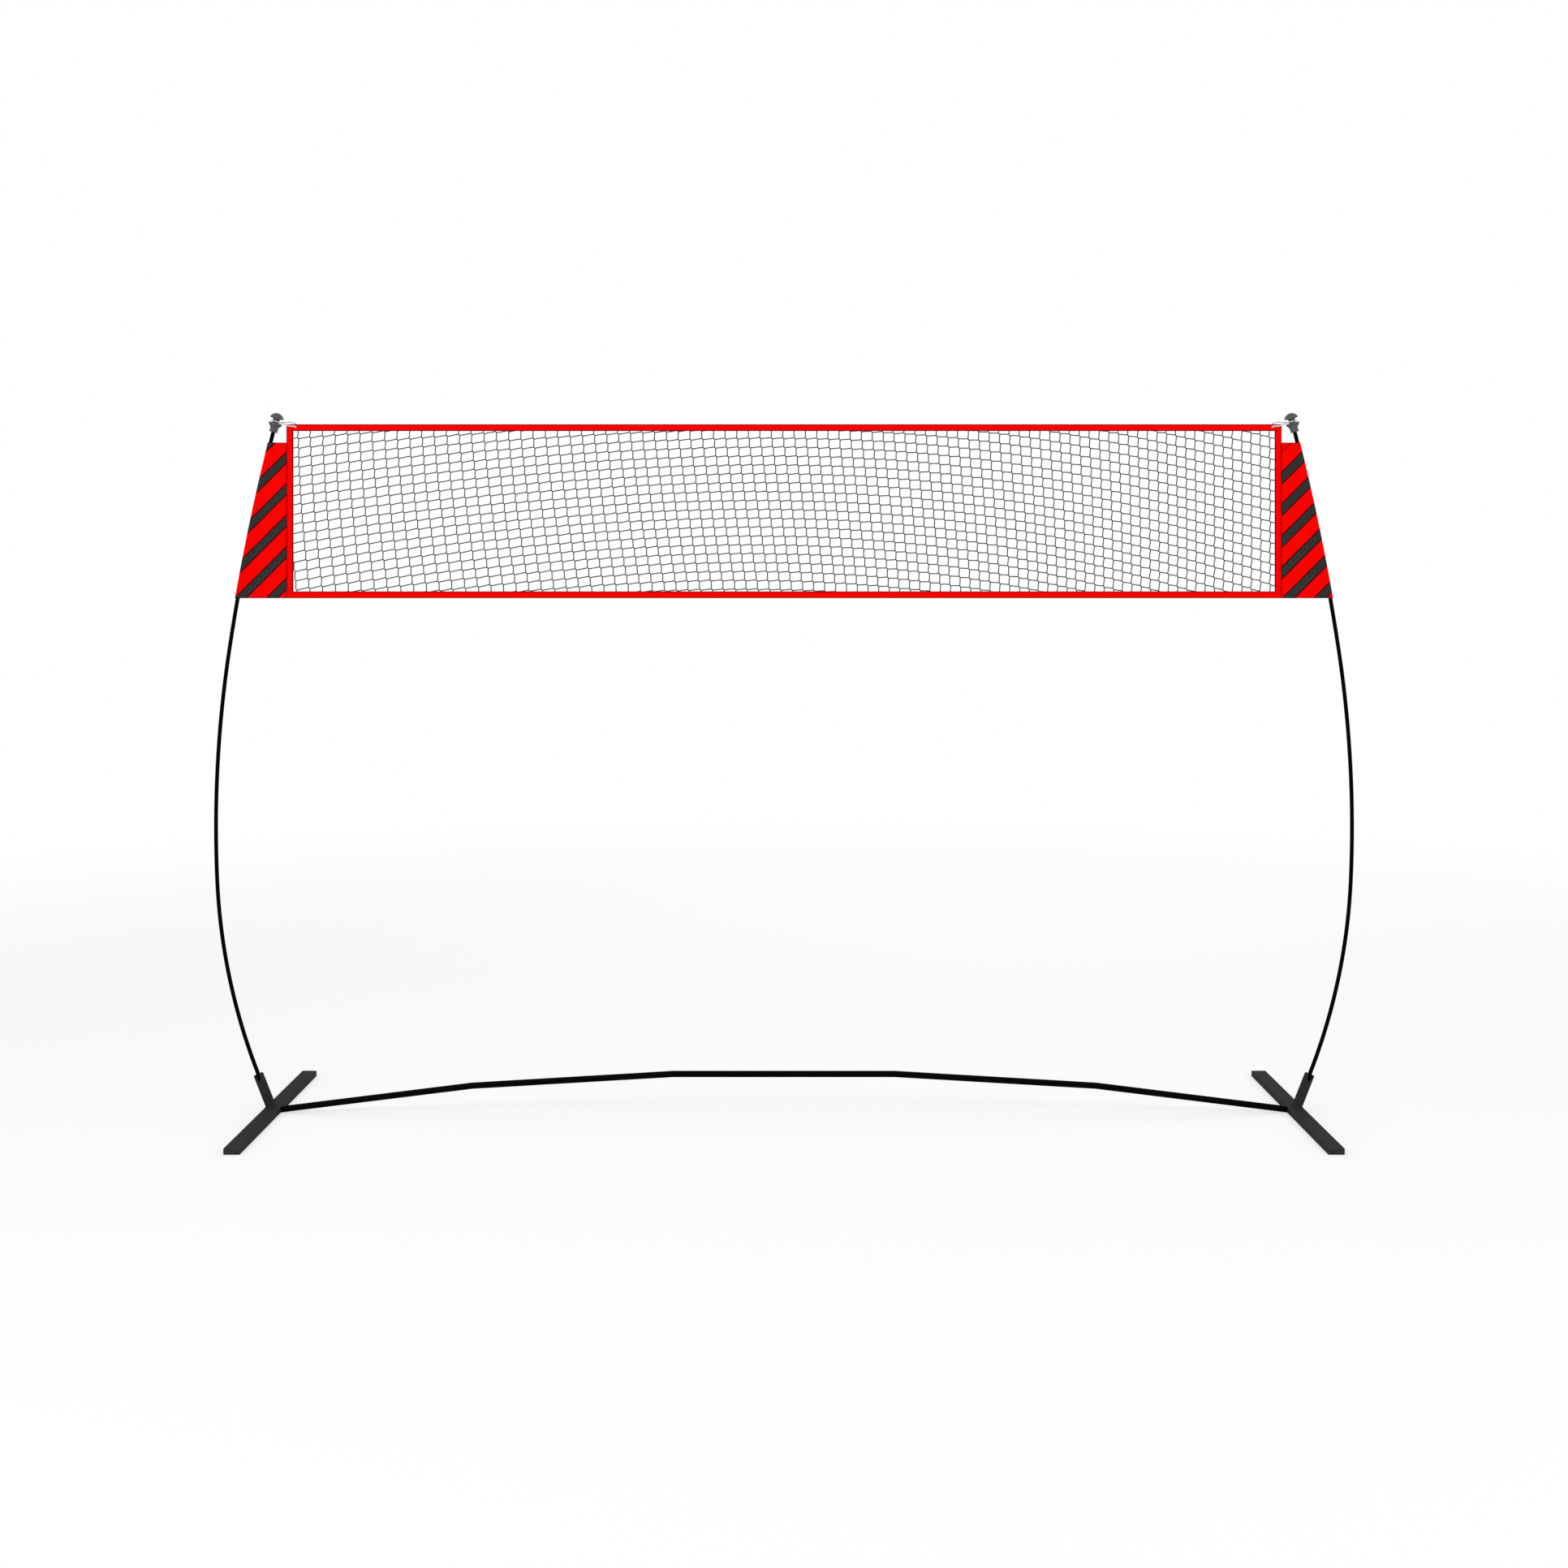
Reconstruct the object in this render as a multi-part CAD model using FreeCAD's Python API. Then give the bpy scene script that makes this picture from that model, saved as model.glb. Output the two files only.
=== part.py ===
import FreeCAD, Part
import math
import os

from FreeCAD import Vector

# Free-standing volleyball net: two bowed poles stand in sockets on flat feet, an arched
# crossbar of plugged tubes holds the feet apart, and the net hangs between the pole tips.
# Millimetres. X runs along the net, -Y is the front, Z is up from the ground.
# Every side piece is drawn on the +X side and mirrored for the left.

# Net, over its tapes
net_top = 2430.0
net_width = 3512.0
net_height = 614.0
tape_width = 24.0
tape_layer = 0.9
mesh_thickness = 1.6
seam_clearance = 0.1
mesh_margin = 10.0          # from the net's outline to the hidden edge of the mesh
mesh_columns = 38
mesh_row_pitch = 86.0
mesh_strand = 4.0
mesh_link = (7.0, 7.0)      # right and down, the short slanted link at each crossing
mesh_squeeze = 0.16         # how much narrower than the mean the last column is
mesh_arch_peak = -100.0     # X where the rows stand highest
mesh_arch = 5.6e-5          # rows fall by arch * x^2 + arch_skew * x^3 from the peak
mesh_arch_skew = 1.2e-8
mesh_lean = 0.14            # steepest lean of the columns, right per mm down
mesh_lean_peak = -504.0
mesh_lean_reach = 1776.0
mesh_least_gap = 500.0      # square mm, smaller cut-off gaps stay closed

# Side panels of cloth, sewn to the net and slid over the poles
panel_drop = 65.0           # from the net's top edge to the panel's
panel_seam = 8.0            # how far the panel reaches into the side tape
cloth_thickness = 1.0
sleeve_radius = 9.5

# Corner loops and their eyelets
loop_cord = 5.0
loop_reach = 71.6           # from the eyelet to the axis of the cap
loop_clearance = 0.3
eyelet_inset = 32.0
eyelet_drop = 8.6
eyelet_hole = 8.0
eyelet_wall = 0.6
eyelet_flange = 13.0
eyelet_flange_height = 0.6

# Poles, each of three tubes of one length, bent by the pull of the net
pole_diameter = 14.0
pole_wall = 2.5
pole_lean = 21.45           # degrees outwards from upright in the socket
pole_bends = (18.83, 11.21, 5.88)
pole_seat_gap = 0.2
ferrule_length = 90.0
ferrule_wall = 1.0
ferrule_clearance = 0.05
pole_cord = 4.0
plug_length = 14.0
plug_clearance = 0.15

# Cap on each pole tip, sizes along its axis from its lower rim
cap_bore_clearance = 0.25
cap_bore_depth = 35.0
cap_lip_height = 2.0
cap_lip_radius = 15.0
cap_lip_slope = 1.5         # rise for each mm that the lip draws in to the collar
cap_collar_radius = 14.0
cap_collar_height = 17.0
cap_cone_height = 29.0
cap_flange_radius = 23.3
cap_flange_height = 33.5
cap_neck_radius = 11.5
cap_loop_height = 38.5
cap_dome_underside = 48.0
cap_dome_undercut = 1.5     # the dome's rim stands this much above its foot at the neck
cap_dome_radius = 24.0
cap_rim_height = 1.5
cap_height = 69.0
cap_rib_count = 8
cap_rib_width = 3.0
cap_rib_depth = 1.6
cap_edge = 0.8

# Sockets for the poles
socket_diameter = 34.5
socket_wall = 2.5
socket_length = 121.0
socket_notch_width = 16.0
socket_notch_depth = 20.0
bush_clearance = 0.1
bush_lip = 2.0
bush_lip_round = 1.2

# Feet
foot_width = 55.0
foot_height = 22.0
foot_length = 1000.0
foot_wall = 2.0
foot_corner = 3.0
foot_cap_plate = 3.0
foot_cap_plug = 20.0
foot_cap_clearance = 0.15

# Crossbar of five tubes
tube_diameter = 22.2
tube_wall = 1.5
centre_tube_length = 782.0
inner_tube_length = 711.5
inner_slope = 3.34          # degrees
outer_slope = 7.05
crossbar_end_height = 12.0
joiner_reach = 35.0         # into each tube
joiner_wall = 1.5
joiner_clearance = 0.1
butt_gap = 0.1
stub_length = 70.0
crossbar_cord = 5.0
anchor_length = 12.0
anchor_gap = 6.0            # between the stub's end and the cord's anchor

# Spring button that locks each foot to the crossbar, at the back
button_diameter = 7.0
button_clearance = 0.2
button_from_foot = 40.0
button_stand = 2.5          # out of the crossbar
button_dome = 1.4
button_flange_radius = 4.4
button_flange_height = 1.0
spring_strip = 0.6
spring_width = 6.8
spring_leg = 24.0
spring_clearance = 0.1

far = 400.0                 # reach of the blocks that cut ends and holes
cord_corners = 8            # cords are drawn with flat sides, within their round section
mesh_spare_rows = 1         # beyond those that reach the tapes
same_length = 0.01          # edges that differ less than this are as long as each other

origin = Vector(0, 0, 0)
across = Vector(1, 0, 0)
depth = Vector(0, 1, 0)
up = Vector(0, 0, 1)


# Shapes that several pieces use

def disc(centre, normal, radius):
    return Part.Face(Part.Wire(Part.makeCircle(radius, centre, normal)))


def ring(centre, normal, outer, inner):
    face = disc(centre, normal, outer)
    if inner:
        face = face.cut(disc(centre, normal, inner)).Faces[0]
    return face


def polygon(points):
    return Part.Face(Part.makePolygon(points + [points[0]]))


def cord_face(centre, normal, diameter, facing):
    """Section of a cord, with its first corner on the side that facing points to."""
    points = []
    for k in range(cord_corners):
        turned = FreeCAD.Rotation(normal, 360.0 * k / cord_corners).multVec(facing)
        points.append(centre + turned * (diameter / 2))
    return polygon(points)


def trim(shape, point, beyond):
    """Cut away what lies past the plane through point, on the side beyond points to."""
    return shape.cut(Part.makeCylinder(far, far, point, beyond))


def fuse(shapes):
    whole = shapes[0]
    if len(shapes) > 1:
        whole = whole.multiFuse(shapes[1:]).removeSplitter()
    return whole


def straight_run(start, end, face, before, after):
    """Bar of the section that lies at its start, its ends cut square to before and after."""
    beyond = (end - start).normalize() * face.BoundBox.DiagonalLength
    face.translate(-beyond)
    bar = face.extrude(end - start + beyond * 2)
    return trim(trim(bar, start, before), end, after)


def straight_tube(start, end, outer, inner, before, after):
    face = ring(start, (end - start).normalize(), outer, inner)
    return straight_run(start, end, face, before, after)


def straight_cord(start, end, diameter, before, after):
    face = cord_face(start, (end - start).normalize(), diameter, depth)
    return straight_run(start, end, face, before, after)


def frame_at(point, axis):
    """Placement that turns +Z to axis, with local X in the plane of the net."""
    side = depth.cross(axis)
    return FreeCAD.Placement(point, FreeCAD.Rotation(side, depth, axis, "ZXY"))


def mirrored(shape):
    return shape.mirror(origin, across)


# Line of a pole: straight in its socket, then one arc for each section

def heading(lean):
    turn = math.radians(lean)
    return Vector(math.sin(turn), 0, math.cos(turn))


def inward(lean):
    turn = math.radians(lean)
    return Vector(-math.cos(turn), 0, math.sin(turn))


def after_run(start, lean, length, bend):
    """Point reached after a run that turns inwards by bend degrees."""
    if bend == 0:
        return start + heading(lean) * length
    radius = length / math.radians(bend)
    return start + (inward(lean) - inward(lean - bend)) * radius


def runs_of_pole(section, foot):
    """Runs as (distance along the pole, start, lean, length, bend)."""
    first_arc = pole_start + section - socket_length
    lengths = [socket_length, first_arc, section, section]
    runs = []
    distance = 0.0
    point = foot
    lean = pole_lean
    for length, bend in zip(lengths, (0,) + pole_bends):
        runs.append((distance, point, lean, length, bend))
        point = after_run(point, lean, length, bend)
        distance += length
        lean -= bend
    return runs, point


pole_radius = pole_diameter / 2
lean_in_socket = math.radians(pole_lean)
# the pole's square end just clears the top of the foot
pole_start = (pole_radius * math.sin(lean_in_socket) + pole_seat_gap) / math.cos(lean_in_socket)
tip_lean = pole_lean - sum(pole_bends)
tip_axis = heading(tip_lean)

# the eyelet, the loop and the cap's groove lie in one slanting plane, which sets the tip
net_half = net_width / 2
net_bottom = net_top - net_height
eyelet_centre = Vector(net_half - eyelet_inset, 0, net_top - eyelet_drop)
loop_line = -inward(tip_lean)
groove_centre = eyelet_centre + loop_line * loop_reach
tip = groove_centre - tip_axis * (cap_loop_height - cap_bore_depth)

# the rise of a pole grows evenly with its sections' length, so two trials give the length
trial = 1000.0
short_rise = runs_of_pole(trial, origin)[1].z
long_rise = runs_of_pole(2 * trial, origin)[1].z
section_length = trial * (1 + (tip.z - foot_height - short_rise) / (long_rise - short_rise))
tip_shift = runs_of_pole(section_length, origin)[1].x
pole_foot = Vector(tip.x - tip_shift, 0, foot_height)
pole_runs, pole_end = runs_of_pole(section_length, pole_foot)
pole_length = pole_start + 3 * section_length
foot_x = pole_foot.x - foot_height * math.tan(lean_in_socket)


def pole_place(distance):
    """Point and lean of the pole's axis at a distance from the top of the foot."""
    for start, point, lean, length, bend in reversed(pole_runs):
        if distance >= start or start == 0:
            part = (distance - start) / length
            return after_run(point, lean, distance - start, bend * part), lean - bend * part


def spans(begin, end):
    """Pieces of the pole's runs between two distances."""
    for start, _, _, length, bend in pole_runs:
        low = max(begin, start)
        high = min(end, start + length)
        if high - low > 1e-6:
            yield low, high, bend * (high - low) / length


def along_pole(begin, end, face_at):
    """Solid of one section that follows the pole between two distances."""
    pieces = []
    for low, high, bend in spans(begin, end):
        point, lean = pole_place(low)
        face = face_at(point, heading(lean))
        if bend:
            centre = point + inward(lean) * ((high - low) / math.radians(bend))
            pieces.append(face.revolve(centre, -depth, bend))
        else:
            pieces.append(face.extrude(heading(lean) * (high - low)))
    return fuse(pieces)


def pole_tube(begin, end, outer, inner=0):
    return along_pole(begin, end, lambda point, axis: ring(point, axis, outer, inner))


def pole_edges(begin, end):
    edges = []
    for low, high, bend in spans(begin, end):
        first = pole_place(low)[0]
        last = pole_place(high)[0]
        if bend:
            edges.append(Part.Arc(first, pole_place((low + high) / 2)[0], last).toShape())
        else:
            edges.append(Part.LineSegment(first, last).toShape())
    return edges


def distance_at_height(height):
    low = 0.0
    high = pole_length
    while high - low > 1e-7:
        middle = (low + high) / 2
        if pole_place(middle)[0].z < height:
            low = middle
        else:
            high = middle
    return low


# Poles

def pole_sections():
    names = ("lower", "middle", "upper")
    bore = pole_radius - pole_wall
    sections = {}
    for k, name in enumerate(names):
        begin = pole_start + k * section_length
        sections[name] = pole_tube(begin, begin + section_length, pole_radius, bore)
    return sections


def pole_ferrules():
    """Inner sleeves that bridge the two joints of a pole."""
    outer = pole_radius - pole_wall - ferrule_clearance
    ferrules = []
    for k in (1, 2):
        middle = pole_start + k * section_length
        begin = middle - ferrule_length / 2
        ferrules.append(pole_tube(begin, begin + ferrule_length, outer, outer - ferrule_wall))
    return Part.makeCompound(ferrules)


def pole_shock_cord():
    return along_pole(pole_start + plug_length / 2, pole_length - plug_length / 2,
                      lambda point, axis: cord_face(point, axis, pole_cord, depth))


def pole_plugs():
    """Plugs in the two ends of a pole that hold its elastic cord."""
    outer = pole_radius - pole_wall - ferrule_clearance
    inner = pole_cord / 2 + plug_clearance
    foot_plug = pole_tube(pole_start, pole_start + plug_length, outer, inner)
    tip_plug = pole_tube(pole_length - plug_length, pole_length, outer, inner)
    return Part.makeCompound([foot_plug, tip_plug])


# Cap with a domed head, a groove for the loop and a ribbed collar

def arc_through(first, middle, last):
    return Part.Arc(first, middle, last).toShape()


def line(first, last):
    return Part.LineSegment(first, last).toShape()


def cap_body():
    """Outline in the local X-Z plane, turned about the axis."""
    core_radius = cap_flange_radius - cap_rib_depth
    lip_end = cap_lip_height + cap_lip_slope * (cap_lip_radius - cap_collar_radius)
    rim_base = cap_dome_underside + cap_dome_undercut
    rim_top = rim_base + cap_rim_height
    rise = cap_height - rim_top
    sphere = (cap_dome_radius ** 2 + rise ** 2) / (2 * rise)
    half_way = math.asin(cap_dome_radius / sphere) / 2
    dome_middle = Vector(sphere * math.sin(half_way), 0,
                         cap_height - sphere * (1 - math.cos(half_way)))
    corners = [
        Vector(0, 0, 0),
        Vector(cap_lip_radius, 0, 0),
        Vector(cap_lip_radius, 0, cap_lip_height),
        Vector(cap_collar_radius, 0, lip_end),
        Vector(cap_collar_radius, 0, cap_collar_height),
        Vector(core_radius, 0, cap_cone_height),
        Vector(cap_flange_radius, 0, cap_cone_height),
        Vector(cap_flange_radius, 0, cap_flange_height - cap_edge),
        Vector(cap_flange_radius - cap_edge, 0, cap_flange_height),
        Vector(cap_neck_radius, 0, cap_flange_height),
        Vector(cap_neck_radius, 0, cap_dome_underside),
        Vector(cap_dome_radius - cap_edge, 0, rim_base),
        Vector(cap_dome_radius, 0, rim_base + cap_edge),
        Vector(cap_dome_radius, 0, rim_top),
    ]
    top = Vector(0, 0, cap_height)
    edges = [line(a, b) for a, b in zip(corners, corners[1:])]
    edges.append(arc_through(corners[-1], dome_middle, top))
    edges.append(line(top, corners[0]))
    return Part.Face(Part.Wire(edges)).revolve(origin, up, 360)


def cap_rib():
    """Fin between collar and flange that fills the cone out to the flange's edge."""
    bury = cap_collar_radius / 2
    outline = polygon([
        Vector(bury, 0, cap_collar_height - cap_edge),
        Vector(cap_collar_radius, 0, cap_collar_height - cap_edge),
        Vector(cap_flange_radius, 0, cap_cone_height),
        Vector(bury, 0, cap_cone_height),
    ])
    outline.translate(depth * (-cap_rib_width / 2))
    return outline.extrude(depth * cap_rib_width)


def ball_cap():
    parts = [cap_body()]
    for k in range(cap_rib_count):
        rib = cap_rib()
        rib.rotate(origin, up, 360.0 * (k + 0.5) / cap_rib_count)
        parts.append(rib)
    cap = fuse(parts)
    bore = Part.makeCylinder(pole_radius + cap_bore_clearance, cap_bore_depth)
    cap = cap.cut(bore)
    cap.Placement = frame_at(tip - tip_axis * cap_bore_depth, tip_axis)
    return cap


# Sockets and feet

def socket_notch():
    """Round-bottomed slot that opens the front of the socket's mouth."""
    radius = socket_notch_width / 2
    bottom, lean = pole_place(socket_length - socket_notch_depth + radius)
    slot = Part.makeCylinder(radius, far, origin, -depth)
    slot = slot.fuse(Part.makeBox(socket_notch_width, far, far, Vector(-radius, -far, 0)))
    slot.Placement = frame_at(bottom, heading(lean))
    return slot


def pole_socket():
    axis = heading(pole_lean)
    outer = socket_diameter / 2
    mouth = pole_place(socket_length)[0]
    tube = straight_tube(pole_foot - axis * outer, mouth, outer, outer - socket_wall,
                         -axis, axis)
    return trim(tube, pole_foot, -up).cut(socket_notch())


def socket_bush():
    """Filler between the wide socket and the thin pole, with a lip over the rim."""
    axis = heading(pole_lean)
    outer = socket_diameter / 2 - socket_wall - bush_clearance
    inner = pole_radius + bush_clearance
    mouth = pole_place(socket_length)[0]
    body = straight_tube(pole_foot - axis * outer, mouth, outer, inner, -axis, axis)
    body = trim(body, pole_foot + up * bush_clearance, -up)
    lip = ring(mouth, axis, socket_diameter / 2, inner).extrude(axis * bush_lip)
    around = math.pi * socket_diameter
    rim = [edge for edge in lip.Edges if abs(edge.Length - around) < same_length
           and (edge.CenterOfMass - mouth).dot(axis) > bush_lip / 2]
    lip = lip.makeFillet(bush_lip_round, rim)
    return fuse([body, lip]).cut(socket_notch())


def rounded_bar(width, height, length, corner):
    """Bar along Y, centred on X and Y, its base at zero, with rounded long edges."""
    bar = Part.makeBox(width, length, height, Vector(-width / 2, -length / 2, 0))
    long_edges = [edge for edge in bar.Edges if abs(edge.Length - length) < same_length
                  and abs(edge.Vertexes[0].Y - edge.Vertexes[1].Y) > length / 2]
    return bar.makeFillet(corner, long_edges)


def foot_bar():
    length = foot_length - 2 * foot_cap_plate
    inner_corner = foot_corner - foot_wall
    bore = rounded_bar(foot_width - 2 * foot_wall, foot_height - 2 * foot_wall,
                       length + far, inner_corner)
    bore.translate(up * foot_wall)
    bar = rounded_bar(foot_width, foot_height, length, foot_corner).cut(bore)
    bar.translate(across * foot_x)
    return bar


def foot_end_caps():
    """Plate and plug that close each end of the foot's tube."""
    play = foot_wall + foot_cap_clearance
    plate = rounded_bar(foot_width, foot_height, foot_cap_plate, foot_corner)
    plate.translate(depth * (foot_length - foot_cap_plate) / 2)
    plug = rounded_bar(foot_width - 2 * play, foot_height - 2 * play, foot_cap_plug,
                       foot_corner - foot_wall)
    plug.translate(Vector(0, foot_length / 2 - foot_cap_plate - foot_cap_plug / 2, play))
    back = plate.fuse(plug)
    back.translate(across * foot_x)
    front = back.mirror(origin, depth)
    return Part.makeCompound([front, back])


# Crossbar, from its middle to the inner face of the foot

tube_radius = tube_diameter / 2
joiner_radius = tube_radius - tube_wall - joiner_clearance
foot_face = foot_x - foot_width / 2


def falling(slope):
    turn = math.radians(slope)
    return Vector(math.cos(turn), 0, -math.sin(turn))


inner_kink_x = centre_tube_length / 2
outer_kink_x = inner_kink_x + inner_tube_length * math.cos(math.radians(inner_slope))
outer_rise = (foot_face - outer_kink_x) * math.tan(math.radians(outer_slope))
outer_kink = Vector(outer_kink_x, 0, crossbar_end_height + outer_rise)
inner_kink = outer_kink - falling(inner_slope) * inner_tube_length
foot_entry = Vector(foot_face, 0, crossbar_end_height)
bar_points = [Vector(-inner_kink.x, 0, inner_kink.z), inner_kink, outer_kink, foot_entry]
bar_lines = [across, falling(inner_slope), falling(outer_slope)]


# square to the cut at each of bar_points, where two tubes meet halfway between their lines
inner_mitre = (bar_lines[0] + bar_lines[1]).normalize()
outer_mitre = (bar_lines[1] + bar_lines[2]).normalize()
mitres = [Vector(inner_mitre.x, 0, -inner_mitre.z), inner_mitre, outer_mitre, across]


def crossbar_run(k, outer, inner):
    return straight_tube(bar_points[k], bar_points[k + 1], outer, inner,
                         -mitres[k], mitres[k + 1])


def button_bore(radius):
    """Hole through the back wall, in line with the spring button."""
    return Part.makeCylinder(radius, far, button_seat(), depth)


def button_seat():
    return foot_entry - falling(outer_slope) * button_from_foot


def crossbar_tubes():
    bore = tube_radius - tube_wall
    centre = crossbar_run(0, tube_radius, bore)
    inner = crossbar_run(1, tube_radius, bore)
    outer = crossbar_run(2, tube_radius, bore)
    outer = trim(outer, foot_entry - across * butt_gap, across)
    outer = outer.cut(button_bore(button_diameter / 2 + button_clearance))
    return centre, inner, outer


def crossbar_joiner(k):
    """Bent inner sleeve at bar_points[k], plugged into the tubes on both sides."""
    point = bar_points[k]
    bore = joiner_radius - joiner_wall
    halves = [
        straight_tube(point - bar_lines[k - 1] * joiner_reach, point, joiner_radius, bore,
                      -bar_lines[k - 1], mitres[k]),
        straight_tube(point, point + bar_lines[k] * joiner_reach, joiner_radius, bore,
                      -mitres[k], bar_lines[k]),
    ]
    return fuse(halves)


def crossbar_stub():
    """Short tube welded to the foot, over which the crossbar slides."""
    line_out = falling(outer_slope)
    stub = straight_tube(foot_entry - line_out * stub_length, foot_entry, joiner_radius,
                         joiner_radius - joiner_wall, -line_out, across)
    return stub.cut(button_bore(button_diameter / 2 + button_clearance))


anchor_inner = stub_length + anchor_gap + anchor_length


def crossbar_shock_cord():
    """Elastic cord through the five tubes, from anchor to anchor."""
    last = foot_entry - falling(outer_slope) * (anchor_inner - anchor_length / 2)
    centre = straight_cord(bar_points[0], bar_points[1], crossbar_cord, -mitres[0], mitres[1])
    side = [
        straight_cord(inner_kink, outer_kink, crossbar_cord, -inner_mitre, outer_mitre),
        straight_cord(outer_kink, last, crossbar_cord, -outer_mitre, falling(outer_slope)),
    ]
    return fuse([centre] + side + [mirrored(piece) for piece in side])


def crossbar_cord_anchors():
    line_out = falling(outer_slope)
    near = foot_entry - line_out * anchor_inner
    anchor = straight_tube(near, near + line_out * anchor_length, joiner_radius,
                           crossbar_cord / 2 + plug_clearance, -line_out, line_out)
    return Part.makeCompound([anchor, mirrored(anchor)])


# Spring button, drawn with its axis along local Z and then turned to the back

def button_heights():
    """Distances of the button's steps from the axis of the stub."""
    bore = joiner_radius - joiner_wall
    flange_top = math.sqrt(bore ** 2 - button_flange_radius ** 2) - button_clearance
    tip_height = tube_radius + button_stand
    return flange_top - button_flange_height, flange_top, tip_height - button_dome, tip_height


def snap_button():
    base, flange_top, shoulder, tip_height = button_heights()
    radius = button_diameter / 2
    rise = button_dome
    sphere = (radius ** 2 + rise ** 2) / (2 * rise)
    half_way = math.asin(radius / sphere) / 2
    dome_middle = Vector(sphere * math.sin(half_way), 0,
                         tip_height - sphere * (1 - math.cos(half_way)))
    corners = [
        Vector(0, 0, base),
        Vector(button_flange_radius, 0, base),
        Vector(button_flange_radius, 0, flange_top),
        Vector(radius, 0, flange_top),
        Vector(radius, 0, shoulder),
    ]
    top = Vector(0, 0, tip_height)
    edges = [line(a, b) for a, b in zip(corners, corners[1:])]
    edges.append(arc_through(corners[-1], dome_middle, top))
    edges.append(line(top, corners[0]))
    button = Part.Face(Part.Wire(edges)).revolve(origin, up, 360)
    button.rotate(origin, across, -90)
    button.translate(button_seat())
    return button


def button_spring():
    """Hairpin of flat strip: one leg under the button, the other on the far wall."""
    top = button_heights()[0]
    bore = joiner_radius - joiner_wall
    foot = -math.sqrt(bore ** 2 - (spring_width / 2) ** 2) + spring_clearance
    outer = (top - foot) / 2
    middle = (top + foot) / 2
    reach = button_flange_radius
    bend = -spring_leg

    def strip(radius):
        return [
            line(Vector(reach, middle + radius, 0), Vector(bend, middle + radius, 0)),
            arc_through(Vector(bend, middle + radius, 0), Vector(bend - radius, middle, 0),
                        Vector(bend, middle - radius, 0)),
            line(Vector(bend, middle - radius, 0), Vector(reach, middle - radius, 0)),
        ]

    inner = outer - spring_strip
    edges = strip(outer) + strip(inner)
    edges.append(line(Vector(reach, middle + outer, 0), Vector(reach, middle + inner, 0)))
    edges.append(line(Vector(reach, middle - outer, 0), Vector(reach, middle - inner, 0)))
    outline = Part.Face(Part.Wire(Part.__sortEdges__(edges)))
    spring = outline.extrude(up * spring_width)
    spring.translate(up * (-spring_width / 2))
    spring.rotate(origin, depth, outer_slope)
    spring.translate(button_seat())
    return spring


# Net

tape_half = tape_layer + mesh_thickness / 2 + seam_clearance
slit_half = tape_half - tape_layer
eyelet_outer = eyelet_hole / 2 + eyelet_wall
inner_half = net_half - tape_width
inner_top = net_top - tape_width
inner_bottom = net_bottom + tape_width


def eyelet_bores(radius):
    bore = Part.makeCylinder(radius, far, eyelet_centre - depth * (far / 2), depth)
    return [bore, mirrored(bore)]


def edge_tape():
    """Folded webbing along the net, drawn for the top: its fold is the upper edge."""
    outline = Part.Wire([
        line(Vector(0, -tape_half, inner_top), Vector(0, -tape_half, net_top - tape_half)),
        arc_through(Vector(0, -tape_half, net_top - tape_half), Vector(0, 0, net_top),
                    Vector(0, tape_half, net_top - tape_half)),
        line(Vector(0, tape_half, net_top - tape_half), Vector(0, tape_half, inner_top)),
        line(Vector(0, tape_half, inner_top), Vector(0, slit_half, inner_top)),
        line(Vector(0, slit_half, inner_top), Vector(0, slit_half, net_top - tape_half)),
        arc_through(Vector(0, slit_half, net_top - tape_half),
                    Vector(0, 0, net_top - tape_layer),
                    Vector(0, -slit_half, net_top - tape_half)),
        line(Vector(0, -slit_half, net_top - tape_half), Vector(0, -slit_half, inner_top)),
        line(Vector(0, -slit_half, inner_top), Vector(0, -tape_half, inner_top)),
    ])
    tape = Part.Face(outline).extrude(across * net_width)
    tape.translate(across * -net_half)
    return tape


def top_tape():
    return edge_tape().cut(eyelet_bores(eyelet_outer + seam_clearance))


def bottom_tape():
    tape = edge_tape()
    return tape.mirror(Vector(0, 0, (net_top + net_bottom) / 2), up)


def side_tape():
    """Two layers sewn together down the middle: the mesh enters on one side, the panel
    on the other."""
    length = inner_top - inner_bottom
    tape = Part.makeBox(tape_width, 2 * tape_half, length,
                        Vector(inner_half, -tape_half, inner_bottom))
    mesh_slit = Part.makeBox(tape_width - mesh_margin + seam_clearance, 2 * slit_half, length,
                             Vector(inner_half, -slit_half, inner_bottom))
    panel_slit = Part.makeBox(panel_seam + seam_clearance, 2 * slit_half, length,
                              Vector(net_half - panel_seam - seam_clearance, -slit_half,
                                     inner_bottom))
    return tape.cut([mesh_slit, panel_slit])


def corner_eyelets():
    """Rolled metal rings through the ends of the top tape."""
    barrel_half = tape_half + eyelet_flange_height
    eyelet = Part.makeCylinder(eyelet_outer, 2 * barrel_half,
                               eyelet_centre - depth * barrel_half, depth)
    flanges = []
    for y in (-barrel_half, tape_half):
        flanges.append(Part.makeCylinder(eyelet_flange / 2, eyelet_flange_height,
                                         eyelet_centre + depth * y, depth))
    eyelet = fuse([eyelet] + flanges)
    eyelet = eyelet.cut(eyelet_bores(eyelet_hole / 2)[0])
    return Part.makeCompound([eyelet, mirrored(eyelet)])


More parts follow.
